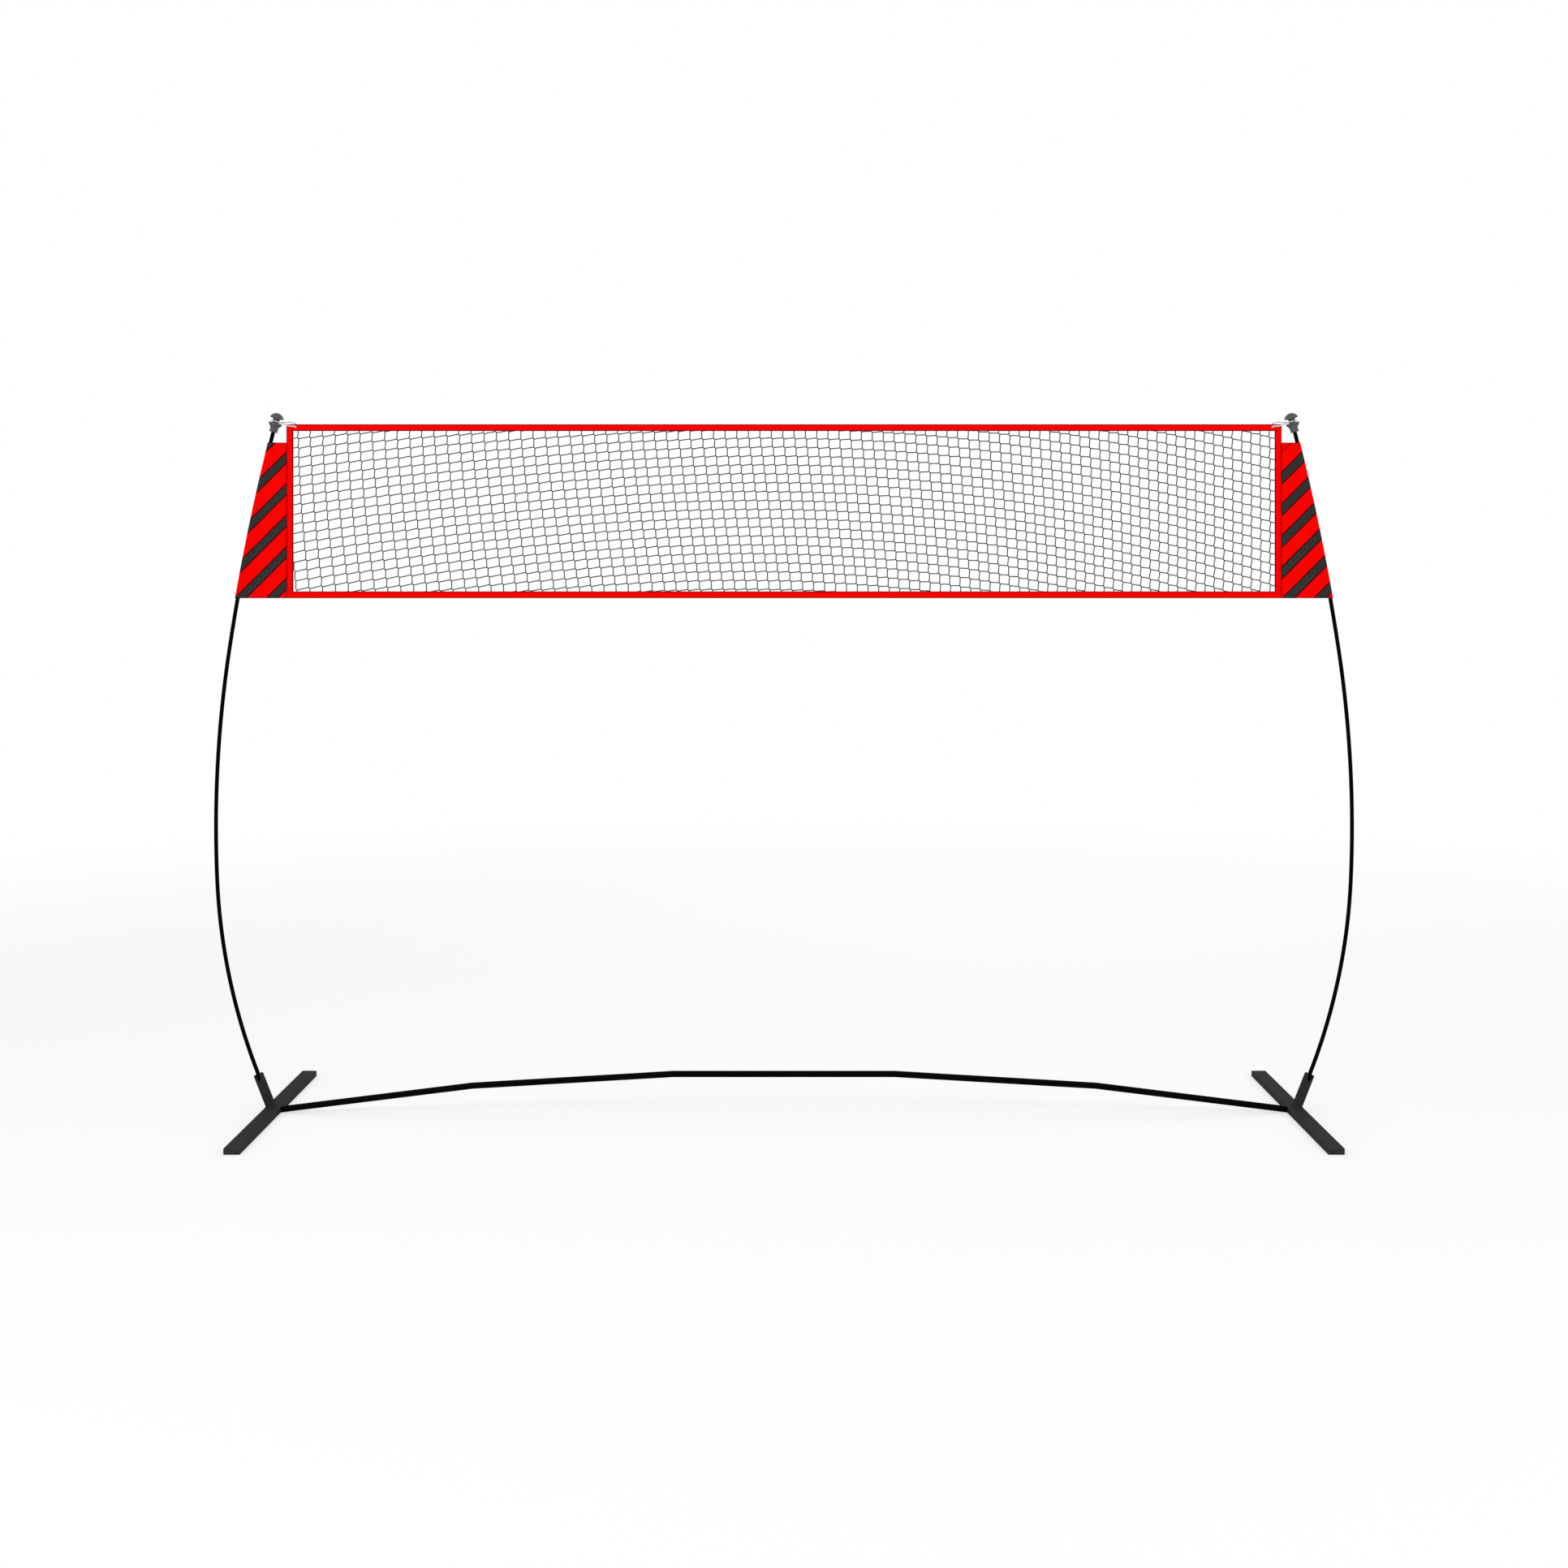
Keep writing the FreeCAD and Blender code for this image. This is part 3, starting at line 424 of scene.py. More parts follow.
panelEdgeShade = {
    "halfX": 9.0, "halfZ": 0.2745, "middleZ": 2.0905,
    "calm": -0.2745, "reach": 0.2717, "soft": 0.0004, "shade": 0.22,
}
panelStripes = {
    "right": {"from": -0.5040, "to": -0.4616, "pitch": 0.1117, "first": -0.54},
    "left": {"from": -4.0890, "to": -4.0491, "pitch": 0.1115, "first": -9.0},
    "start": 1.7485,            # X of the cloth's inner edge, where its map begins
    "line": 0.0072, "faint": 0.55, "band": "#313433", "edge": "#520609",
}


def twistedYarn(name, yarn, stripes=None):
    # yarn laid up from filaments: slanting plies, painted lighter on their crowns and darker in
    # the grooves between them, hairy and matt
    material, tree, shader, place = startMaterial(name, {
        "IOR": 1.5, "Roughness": 0.7, "Specular IOR Level": yarn["gloss"],
        "Sheen Weight": yarn["sheen"], "Sheen Roughness": 0.5})
    lengths = addNode(tree, "UVMap", {"uv_map": "lengths"})
    turned = addNode(tree, "Mapping", {
        "Rotation": (0, 0, math.radians(yarn["slantDegrees"])),
        "Scale": (1000 / yarn["plyMm"],) * 3, "Vector": lengths})
    # at this scale one wave is about one ply
    waves = addNode(tree, "TexWave", {
        "Scale": 0.35, "Distortion": 1.2, "Detail": 2.0, "Detail Scale": 2.0, "Vector": turned})
    plies = waves.outputs["Fac"]
    # painted shade: the colour follows the plies' height, darker in their grooves
    tone = addNode(tree, "Mix", {
        "data_type": "RGBA", 0: plies, 6: yarn["dark"], 7: yarn["light"]}).outputs[2]
    if stripes:
        spot = addNode(tree, "SeparateXYZ", {0: place})
        tone = printStripes(tree, spot, spot.outputs["Z"], tone, stripes)
    bump = addNode(tree, "Bump", {
        "Strength": 0.5, "Distance": yarn["reliefMm"] / 1000, "Height": plies})
    setNode(tree, shader, {"Base Color": tone, "Normal": bump})
    return material


netYarn = {
    "dark": "#424444", "light": "#5C5E5E", "gloss": 0.03, "sheen": 0.0,
    "slantDegrees": 35.0, "plyMm": 1.0, "reliefMm": 0.15,
}
whiteElastic = {
    "dark": "#C6C6C4", "light": "#E4E4E2", "gloss": 0.1, "sheen": 0.05,
    "slantDegrees": 88.0, "plyMm": 0.35, "reliefMm": 0.05,
}
blackElastic = {
    "dark": "#0C0C0C", "light": "#1E1E1E", "gloss": 0.1, "sheen": 0.05,
    "slantDegrees": 40.0, "plyMm": 0.8, "reliefMm": 0.1,
}
redThread = {
    "dark": "#C40000", "light": "#E80000", "gloss": 0.04, "sheen": 0.0,
    "slantDegrees": 40.0, "plyMm": 0.3, "reliefMm": 0.05,
}

# the hard pieces keep their shapes and are finished by slot
finishes = {
    "foot_coating": powderCoat("darkGreyPowderCoatedSteel", footCoat),
    "crossbar_coating": powderCoat("blackPowderCoatedSteel", crossbarCoat),
    "pole_fibreglass": lacqueredFibreglass("blackFibreglassPultruded", fibreglass),
    "cap_nylon": mouldedPlastic("greyNylonMoulded", capNylon),
    "black_plastic": mouldedPlastic("blackPolypropyleneMoulded", blackPolypropylene),
    "zinc_steel": platedSteel("zincPlatedSteel", zinc),
    "red_enamel": powderCoat("redEnamelBakedOnBrass", eyeletCoat),
}
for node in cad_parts.values():
    slotName = node.data.materials[0].name
    if slotName in finishes:
        node.data.materials[0] = finishes[slotName]

# the soft pieces are made below and finished by slot, but for their thread
finishes |= {
    "red_webbing": wovenCloth("redPolyesterWebbingWoven", webbing, tapeEdgeShade),
    "net_cord": twistedYarn("greyPolyethyleneTwineKnitted", netYarn),
    "white_cord": twistedYarn("whitePolyesterSheathBraided", whiteElastic),
    "shock_cord": twistedYarn("blackPolyesterSheathBraided", blackElastic),
    "redThread": twistedYarn("redPolyesterThreadTwisted", redThread),
}
for sideName, sign in sides.items():
    printed = {**panelStripes, **panelStripes[sideName], "outward": sign}
    finishes["striped_cloth" + sideName] = wovenCloth(
        "printedPolyesterCloth_" + sideName, panelCloth, panelEdgeShade, printed)
    # the panels are printed after they are sewn, so the bands run over their thread
    finishes["printedThread" + sideName] = twistedYarn(
        "printedPolyesterThread_" + sideName, redThread, printed)
print("materials are made")


# Tools for shapes. A shape's map holds lengths in metres, along and across each piece.

def startShape():
    return {"points": [], "faces": [], "maps": []}


def addFace(shape, *corners):
    # each corner is a point's number and its place in the map
    shape["faces"].append([point for point, place in corners])
    shape["maps"] += [place for point, place in corners]


def spread(low, high, count):
    # the ends of that many equal steps
    return [low + (high - low) * k / count for k in range(count + 1)]


def lengthsAlong(points):
    # how far each point lies along their line
    run = [0.0]
    for a, b in zip(points, points[1:]):
        run.append(run[-1] + math.dist(a, b))
    return run


def stationsAlong(points, facing, closed=False):
    # frames of (centre, side, rise); facing is one direction, or one for each point
    stations = []
    last = len(points) - 1
    for k, point in enumerate(points):
        before = points[k - 1] if closed or k else point
        after = points[(k + 1) % len(points)] if closed or k < last else point
        ahead = (after - before).normalized()
        rise = facing[k] if isinstance(facing, list) else facing
        side = rise.cross(ahead).normalized()
        stations.append((point, side, ahead.cross(side)))
    return stations


def carriedAlong(line, start):
    # directions square to a closed line that turn only as it does, the twist that is left
    # at the end shared out over its length
    ahead = [(line[(k + 1) % len(line)] - line[k - 1]).normalized() for k in range(len(line))]
    rise = start - ahead[0] * start.dot(ahead[0])
    rises = []
    for k in range(len(line) + 1):
        way = ahead[k % len(line)]
        rise = (rise - way * rise.dot(way)).normalized()
        rises.append(rise)
    last = rises.pop()
    twist = math.atan2(last.cross(rises[0]).dot(ahead[0]), last.dot(rises[0]))
    return [Quaternion(way, twist * k / len(line)) @ rise
            for k, (way, rise) in enumerate(zip(ahead, rises))]


def oval(width, height, count=10):
    turns = [2 * math.pi * k / count for k in range(count)]
    return [(width * math.cos(turn), height * math.sin(turn)) for turn in turns]


def sweep(shape, stations, outline, closed=False, swell=None):
    # skin of an outline carried through the stations, with flat ends
    count = len(outline)
    first = len(shape["points"])
    around = lengthsAlong(outline + outline[:1])
    ring = stations + stations[:1] if closed else stations
    along = lengthsAlong([centre for centre, side, rise in ring])
    for k, (centre, side, rise) in enumerate(stations):
        size = swell[k] if swell else 1.0
        shape["points"].extend(centre + side * (a * size) + rise * (b * size)
                               for a, b in outline)
    for k in range(len(ring) - 1):
        low = first + k * count
        high = first + (k + 1) % len(stations) * count
        near, far = along[k:k + 2]
        for n in range(count):
            m = (n + 1) % count
            a, b = around[n:n + 2]
            addFace(shape, (low + n, (near, a)), (low + m, (near, b)), (high + m, (far, b)),
                    (high + n, (far, a)))
    if not closed:
        end = first + (len(stations) - 1) * count
        addFace(shape, *((first + n, outline[n]) for n in range(count - 1, -1, -1)))
        addFace(shape, *((end + n, outline[n]) for n in range(count)))


def mirroredShape(shape):
    other = startShape()
    other["points"] = [Vector((-p.x, p.y, p.z)) for p in shape["points"]]
    start = 0
    for face in shape["faces"]:
        other["faces"].append(face[::-1])
        other["maps"] += shape["maps"][start:start + len(face)][::-1]
        start += len(face)
    return other


def addPiece(name, shape, slotName, standsFor=(), finish=None, crease=50):
    mesh = bpy.data.meshes.new(name)
    mesh.from_pydata(shape["points"], [], shape["faces"])
    layer = mesh.uv_layers.new(name="lengths")
    layer.data.foreach_set("uv", [c for pair in shape["maps"] for c in pair])
    mesh.polygons.foreach_set("use_smooth", [True] * len(mesh.polygons))
    mesh.set_sharp_from_angle(angle=math.radians(crease))
    mesh.materials.append(finishes[finish or slotName])
    piece = addObject(name, mesh)
    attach(piece, "root")
    if standsFor:
        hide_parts(*standsFor)
    return piece


def addBothSides(name, shape, slotName, node=None, finish=None):
    finish = finish or slotName
    pieces = {}
    for side, sign in sides.items():
        own = shape if sign > 0 else mirroredShape(shape)
        standsFor = [node + "_" + side] if node else []
        pieces[side] = addPiece(name + side.capitalize(), own, slotName, standsFor,
                                finish if finish in finishes else finish + side)
    return pieces


def finishedMesh(thing):
    # with its modifiers applied, or its curve drawn
    graph = bpy.context.evaluated_depsgraph_get()
    return bpy.data.meshes.new_from_object(thing.evaluated_get(graph))


def polynomial(terms, value):
    total = 0.0
    for term in reversed(terms):
        total = total * value + term
    return total


# Line of the right pole, as the tubes stand

pole = {
    "foot": (1.81066, 0.0, 0.022),
    "lean": 21.45,              # degrees outwards, in the socket
    "runs": ((0.121, 0.0), (0.700995, 18.83), (0.81903, 11.21), (0.81903, 5.88)),
}


def poleSpot(distance):
    # point on the pole's axis, and its lean there in radians
    point = Vector(pole["foot"])
    lean = math.radians(pole["lean"])
    for length, bend in pole["runs"]:
        part = min(distance, length)
        turn = math.radians(bend) * part / length
        chord = part * (math.sin(turn / 2) / (turn / 2) if turn else 1.0)
        point += Vector((math.sin(lean - turn / 2), 0, math.cos(lean - turn / 2))) * chord
        lean -= turn
        distance -= part
    return point, lean


def poleAtHeight(height):
    low, high = 0.0, sum(length for length, bend in pole["runs"])
    while high - low > 1e-6:
        middle = (low + high) / 2
        if poleSpot(middle)[0].z < height:
            low = middle
        else:
            high = middle
    return poleSpot(low)


# Net: knotless twine in six-sided cells, caught inside the tapes

net = {
    # X by column / lastColumn, then its drift to the right and its bow on the way down
    "columnTerms": (-1.7017, 3.9289, 0.3097, -1.6252, 0.8038),
    "leanTerms": (0.0732, 0.4309, -0.5451, -0.5454, 0.5896),
    "bowTerms": (0.0852, 0.0258, -0.6035, 0.4779),
    "lastColumn": 88,
    "columns": (-1, 92),
    "rowTerms": (2.38045, -0.00634, -0.06574, -0.0184, 0.00176, 0.00174),  # height by X
    "pitchTerms": (0.03145, 0.00109, 0.00128),      # from row to row by X
    "rows": (-10, 19),
    "middleHeight": 2.123,
    "halfWidth": 1.742,
    "bottom": 1.830,
    "top": 2.417,
    "link": 0.0021,             # half of each crossing's slanted link, right and down
    "twineWidth": 0.0040,
    "twineDepth": 0.0016,
    "twineSides": 6,
    "linkSwell": (0.95, 1.08, 0.95),    # of the twine's size along a link
    "runSwell": (1.03, 0.97, 1.03),
    "slack": 0.0005,
    "shortest": 0.05,           # share of a run that is still knitted
    "seed": 7,
}


def crossing(column, row):
    share = column / net["lastColumn"]
    straight = polynomial(net["columnTerms"], share)
    lean = polynomial(net["leanTerms"], share)
    bow = polynomial(net["bowTerms"], share)
    z = net["middleHeight"]
    for _ in range(3):          # the two curves settle on where they cross
        drop = net["middleHeight"] - z
        x = straight + lean * drop + bow * drop ** 2
        z = polynomial(net["rowTerms"], x) - row * polynomial(net["pitchTerms"], x)
    return Vector((x, 0, z))


def shareInside(start, end):
    # the part of a straight run that lies within the hidden edge of the net
    low, high = 0.0, 1.0
    limits = ((0, -net["halfWidth"], 1), (0, net["halfWidth"], -1),
              (2, net["bottom"], 1), (2, net["top"], -1))
    for axis, limit, sign in limits:
        a = sign * (start[axis] - limit)
        b = sign * (end[axis] - limit)
        if a < 0 and b < 0:
            return None
        if a < 0:
            low = max(low, a / (a - b))
        elif b < 0:
            high = min(high, a / (a - b))
    return (low, high) if high - low > net["shortest"] else None


def addNet():
    draw = random.Random(net["seed"])
    shape = startShape()
    twine = oval(net["twineWidth"] / 2, net["twineDepth"] / 2, net["twineSides"])
    offset = Vector((net["link"], 0, -net["link"]))
    slack = net["slack"]
    crossings = {}
    for column in range(*net["columns"]):
        for row in range(*net["rows"]):
            nudge = Vector((draw.uniform(-slack, slack), 0, draw.uniform(-slack, slack)))
            crossings[column, row] = crossing(column, row) + nudge
    for (column, row), spot in crossings.items():
        runs = [(spot - offset, spot + offset, net["linkSwell"], 0.0)]
        for neighbour in ((column + 1, row), (column, row + 1)):
            if neighbour in crossings:
                runs.append((spot + offset, crossings[neighbour] - offset, net["runSwell"], 1.0))
        for start, end, swell, loose in runs:
            bow = Vector((draw.uniform(-slack, slack), 0, draw.uniform(-slack, slack)))
            inside = shareInside(start, end)
            if inside is None:
                continue
            first = start.lerp(end, inside[0])
            last = start.lerp(end, inside[1])
            middle = (first + last) / 2 + bow * loose
            sweep(shape, stationsAlong([first, middle, last], depth), twine, swell=swell)
    addPiece("netTwine", shape, "net_cord", ["net_mesh"])


addNet()
print("the net is knitted")


# Tapes: red webbing folded over the net's edge at the top and bottom, doubled at the sides

tape = {
    "halfLength": 1.756,
    "top": 2.430,
    "bottom": 1.816,
    "width": 0.024,
    "layer": 0.0009,
    "half": 0.0018,             # half of the folded thickness
    "foldSteps": 8,             # of each flank and of the fold between them
    "step": 0.009,
    "tuck": 0.008,              # of the side tapes' ends, between the folded layers
    "flare": (0.0005, 0.005),   # where the tucked layers begin to part, and have parted
    "between": 0.00004,         # left between the tucked layers
    "bevel": 0.6,               # of the side tapes' edges, as a share of half a layer
    "widthSteps": 10,
}


def foldedOutline():
    # of the folded tape, its fold at the top, in depth and height from the fold
    middle = tape["half"] - tape["layer"] / 2
    steps = tape["foldSteps"]
    flank = spread(-tape["width"], -tape["half"], steps)
    line = [((-middle, z), (-1, 0)) for z in flank]
    for turn in spread(0.0, math.pi, steps)[1:-1]:
        out = (-math.cos(turn), math.sin(turn))
        line.append(((out[0] * middle, out[1] * middle - tape["half"]), out))
    line += [((middle, z), (1, 0)) for z in reversed(flank)]
    half = tape["layer"] / 2
    outside = [(a + x * half, b + z * half) for (a, b), (x, z) in line]
    inside = [(a - x * half, b - z * half) for (a, b), (x, z) in line]
    return inside + outside[::-1]


def longTape(sign, fold):
    # sign is 1 with the fold at the top edge and -1 at the bottom edge
    shape = startShape()
    half = tape["halfLength"]
    stations = [(Vector((x, 0, fold)), depth, up)
                for x in spread(-half, half, round(2 * half / tape["step"]))]
    outline = [(a, b * sign) for a, b in foldedOutline()]
    sweep(shape, stations, outline if sign > 0 else outline[::-1])
    return shape


eyelet = {"x": 1.724, "z": 2.4214, "barrel": 0.0048, "sides": 40}


def punchEyelets(piece):
    # round holes for the eyelets' barrels
    shape = startShape()
    reach = depth * (4 * tape["half"])
    for sign in (-1, 1):
        spot = Vector((sign * eyelet["x"], 0, eyelet["z"]))
        sweep(shape, stationsAlong([spot - reach, spot + reach], up),
              oval(eyelet["barrel"], eyelet["barrel"], eyelet["sides"]))
    mesh = bpy.data.meshes.new("punch")
    mesh.from_pydata(shape["points"], [], shape["faces"])
    punch = addObject("punch", mesh)
    cut = piece.modifiers.new("holes", "BOOLEAN")
    cut.operation = "DIFFERENCE"
    cut.object = punch
    cut.solver = "EXACT"
    holed = finishedMesh(piece)
    piece.modifiers.clear()
    piece.data = holed
    bpy.data.objects.remove(punch)


def sideTape():
    # two layers of webbing, sewn together, their ends tucked into the folded tapes
    shape = startShape()
    low = tape["bottom"] + tape["width"]
    high = tape["top"] - tape["width"]
    apart = tape["half"] - tape["layer"] / 2
    close = (tape["layer"] + tape["between"]) / 2
    begin, parted = tape["flare"]
    heights = [(low - tape["tuck"], close), (low + begin, close), (low + parted, apart)]
    heights += [(z, apart) for z in spread(low, high, round((high - low) / tape["step"]))[1:-1]]
    heights += [(high - parted, apart), (high - begin, close), (high + tape["tuck"], close)]
    centre = tape["halfLength"] - tape["width"] / 2
    width = tape["width"] / 2
    thick = tape["layer"] / 2
    edge = thick * tape["bevel"]
    outline = [(-width, -thick + edge), (-width + edge, -thick)]
    outline += [(x, -thick) for x in spread(-width, width, tape["widthSteps"])[1:-1]]
    outline += [(width - edge, -thick), (width, -thick + edge)]
    outline += [(-a, -b) for a, b in outline]
    for face in (-1, 1):
        stations = [(Vector((centre, face * y, z)), across, depth) for z, y in heights]
        sweep(shape, stations, outline)
    return shape


punchEyelets(addPiece("topTape", longTape(1, tape["top"]), "red_webbing", ["top_tape"],
                      crease=60))
addPiece("bottomTape", longTape(-1, tape["bottom"]), "red_webbing", ["bottom_tape"], crease=60)
sideTapes = addBothSides("sideTape", sideTape(), "red_webbing", "side_tape")
print("the tapes are folded")


# Side panels: cloth from the side tape to a sleeve round the pole, hemmed at both ends

panel = {
    "innerEdge": panelStripes["start"],
    "top": 2.365,
    "bottom": 1.816,
    "half": 0.0005,             # half of the cloth's thickness
    "hem": 0.014,
    "hemLayers": 1.9,           # its thickness, pressed flat
    "hemStep": 0.0004,          # height in which the cloth thickens to the hem
    "layerGap": 0.00008,
    "sleeve": 0.0090,           # radius to the middle of the cloth
    "seamFromPole": 0.0205,
    "allowance": 0.009,         # cloth left behind the web, past the seam
    "webSteps": 24,
    "sleeveSteps": 26,
    "frontShares": (0.3, 0.65),     # points between the seam and the sleeve's round
    "backShares": (0.35, 0.7),
    "rowStep": 0.007,
    "billow": 0.0016,
    "waves": (2.1, 3.3),        # of the billow to a metre, across and up
    "gather": 0.0005,
    "gatherPitch": 0.023,
    "gatherReach": (0.005, 0.022),  # from the seam, where the gathers grow and fade
}


def clothHalf(height):
    edge = min(panel["top"] - height, height - panel["bottom"])
    return panel["half"] * (panel["hemLayers"] if edge < panel["hem"] + 1e-6 else 1.0)


def webDepth(x, height, seam):
    # gentle waves of the stretched cloth, nothing at the tape or the sleeve's seam
    share = min(1.0, max(0.0, (x - panel["innerEdge"]) / (seam - panel["innerEdge"])))
    calm = math.sin(math.pi * share) ** 2
    broad = math.sin(2 * math.pi * (panel["waves"][1] * height + panel["waves"][0] * x))
    grow, fade = panel["gatherReach"]
    near = math.exp((x - seam) / fade) * (1 - math.exp((x - seam) / grow))
    return panel["billow"] * calm * broad + panel["gather"] * near * math.sin(
        2 * math.pi * height / panel["gatherPitch"])


def seamAt(height):
    return poleAtHeight(height)[0].x - panel["seamFromPole"]


def panelSection(height):
    # middle line of the cloth at one height, with the same count of points at each height
    centre, lean = poleAtHeight(height)
    seam = centre.x - panel["seamFromPole"]
    line = [Vector((x, webDepth(x, height, seam), height))
            for x in spread(panel["innerEdge"], seam, panel["webSteps"])]
    start = math.acos(panel["sleeve"] / panel["seamFromPole"])
    wide = panel["sleeve"] / math.cos(lean)
    arc = [Vector((centre.x - wide * math.cos(turn), -panel["sleeve"] * math.sin(turn), height))
           for turn in spread(start, 2 * math.pi - start, panel["sleeveSteps"])]
    line += [line[-1].lerp(arc[0], share) for share in panel["frontShares"]]
    behind = 2 * clothHalf(height) + panel["layerGap"]
    back = Vector((seam, behind, height))
    line += arc + [arc[-1].lerp(back, share) for share in panel["backShares"]] + [back]
    for x in spread(seam, seam - panel["allowance"], 2)[1:]:
        line.append(Vector((x, webDepth(x, height, seam) + behind, height)))
    return line


def panelRows():
    bottom, top, hem, step = (panel[k] for k in ("bottom", "top", "hem", "hemStep"))
    low, high = bottom + hem + step, top - hem - step
    heights = [bottom, bottom + hem / 2, bottom + hem]
    heights += spread(low, high, round((high - low) / panel["rowStep"]))
    return heights + [high + step, top - hem / 2, top]


def clothPanel():
    shape = startShape()
    rows = panelRows()
    outer, inner = [], []
    widths = []
    for height in rows:
        line = panelSection(height)
        run = lengthsAlong(line)
        widths.append(run[-1])
        for grid, half in ((outer, clothHalf(height)), (inner, -clothHalf(height))):
            first = len(shape["points"])
            shape["points"] += [spot - side * half
                                for spot, side, rise in stationsAlong(line, up)]
            grid.append([(first + k, (length, height)) for k, length in enumerate(run)])
    wide = len(outer[0])
    for row in range(len(rows) - 1):
        low, high, under, over = outer[row], outer[row + 1], inner[row], inner[row + 1]
        for k in range(wide - 1):
            addFace(shape, low[k], low[k + 1], high[k + 1], high[k])
            addFace(shape, under[k], over[k], over[k + 1], under[k + 1])
        addFace(shape, under[0], low[0], high[0], over[0])
        addFace(shape, low[-1], under[-1], over[-1], high[-1])
    for k in range(wide - 1):
        addFace(shape, inner[0][k], inner[0][k + 1], outer[0][k + 1], outer[0][k])
        addFace(shape, outer[-1][k], outer[-1][k + 1], inner[-1][k + 1], inner[-1][k])
    area = sum((a + b) / 2 * (high - low) for a, b, low, high in
               zip(widths, widths[1:], rows, rows[1:]))
    return shape, max(widths), area


panelShape, panelWidth, panelArea = clothPanel()
panels = addBothSides("sidePanel", panelShape, "striped_cloth", "side_panel")


# Stitching: each stitch is a short raised thread whose ends go down into the cloth

thread = {
    "pitch": 0.0046,
    "visible": 0.8,             # share of the pitch that shows on this face
    "radius": 0.00042,
    "rise": 0.00016,            # of the thread's middle above the cloth
    "dive": 0.22,               # share of the stitch in which each end goes down
    # rows, in from each edge
    "tapeRows": (0.0035, 0.0205),
    "sideRows": (0.0035, 0.0125, 0.0205),
    "sideEnds": 0.006,
    "cornerBox": (0.002, 0.004),
    "seamRows": (0.002, 0.007),
    "seamSteps": 60,
    "hemRow": 0.0025,           # from the hem's inner edge
    "hemSteps": 12,
    "margin": 0.001,            # of the panels' rows at their ends
}


def sewRow(shape, points, outward):
    # a row of stitches along the points; outward is the face's direction
    radius = thread["radius"]
    reach = thread["pitch"] * thread["visible"]
    rest = 0.0
    for start, end in zip(points, points[1:]):
        ahead = end - start
        length = ahead.length
        ahead.normalize()
        side = outward.cross(ahead).normalized()
        place = rest
        while place + reach <= length + 1e-9:
            first = len(shape["points"])
            shape["points"].append(start + ahead * place - outward * radius)
            for share in (thread["dive"], 1 - thread["dive"]):
                middle = start + ahead * (place + reach * share) + outward * thread["rise"]
                for k in range(4):
                    turn = math.pi * k / 2
                    shape["points"].append(middle + side * (radius * math.cos(turn))
                                           + outward * (radius * math.sin(turn)))
            shape["points"].append(start + ahead * (place + reach) - outward * radius)
            for k in range(4):
                m = (k + 1) % 4
                low, high = (math.pi / 2 * radius * n for n in (k, k + 1))
                near, far = reach * thread["dive"], reach * (1 - thread["dive"])
                a, b = (first + 1 + k, (near, low)), (first + 1 + m, (near, high))
                c, d = (first + 5 + m, (far, high)), (first + 5 + k, (far, low))
                addFace(shape, (first, (0, low)), b, a)
                addFace(shape, a, b, c, d)
                addFace(shape, d, c, (first + 9, (reach, low)))
            place += thread["pitch"]
        rest = place - length


def sewFaces(shape, spots):
    # the same row on the front and the back of a tape, through spots across and up
    for face in (-1, 1):
        sewRow(shape, [Vector((x, face * tape["half"], z)) for x, z in spots], depth * face)


def sewTapes():
    inside, outside = thread["cornerBox"]
    reach = tape["halfLength"] - outside
    inner = tape["halfLength"] - tape["width"] + inside
    for name, inwards in (("top", -1), ("bottom", 1)):
        shape = startShape()
        heights = [tape[name] + inwards * row for row in thread["tapeRows"]]
        for z in heights:
            sewFaces(shape, [(-reach, z), (reach, z)])
        # a box of stitches fixes each corner
        for x in (-reach, -inner, inner, reach):
            sewFaces(shape, [(x, z) for z in heights])
        addPiece(name + "TapeStitching", shape, "red_webbing", finish="redThread")
    shape = startShape()
    low = tape["bottom"] + tape["width"] + thread["sideEnds"]
    high = tape["top"] - tape["width"] - thread["sideEnds"]
    for row in thread["sideRows"]:
        x = tape["halfLength"] - tape["width"] + row
        sewFaces(shape, [(x, low), (x, high)])
    addBothSides("sideTapeStitching", shape, "red_webbing", finish="redThread")


def sewPanels():
    shape = startShape()
    margin = thread["margin"]
    rows = spread(panel["bottom"] + margin, panel["top"] - margin, thread["seamSteps"])
    for inset in thread["seamRows"]:
        front, back = [], []
        for height in rows:
            seam = seamAt(height)
            x = seam - inset
            y = webDepth(x, height, seam)
            half = clothHalf(height)
            front.append(Vector((x, y - half, height)))
            back.append(Vector((x, y + 3 * half + panel["layerGap"], height)))
        sewRow(shape, front, -depth)
        sewRow(shape, back, depth)
    inwards = panel["hem"] - thread["hemRow"]
    for height in (panel["bottom"] + inwards, panel["top"] - inwards):
        seam = seamAt(height)
        first, last = tape["halfLength"] + 2 * margin, seam - margin
        for face in (-1, 1):
            end = last if face < 0 else last - panel["allowance"]
            line = []
            for x in spread(first, end, thread["hemSteps"]):
                y = webDepth(x, height, seam) + face * clothHalf(height)
                line.append(Vector((x, y, height)))
            sewRow(shape, line, depth * face)
    addBothSides("sidePanelStitching", shape, "striped_cloth", finish="printedThread")


sewTapes()
sewPanels()
print("the seams are stitched")


# Corner loops: braided elastic, round the neck of each cap and through the eyelet. Each has
# drawn together beside the cap and hangs open at the tape, one strand before it and one behind.

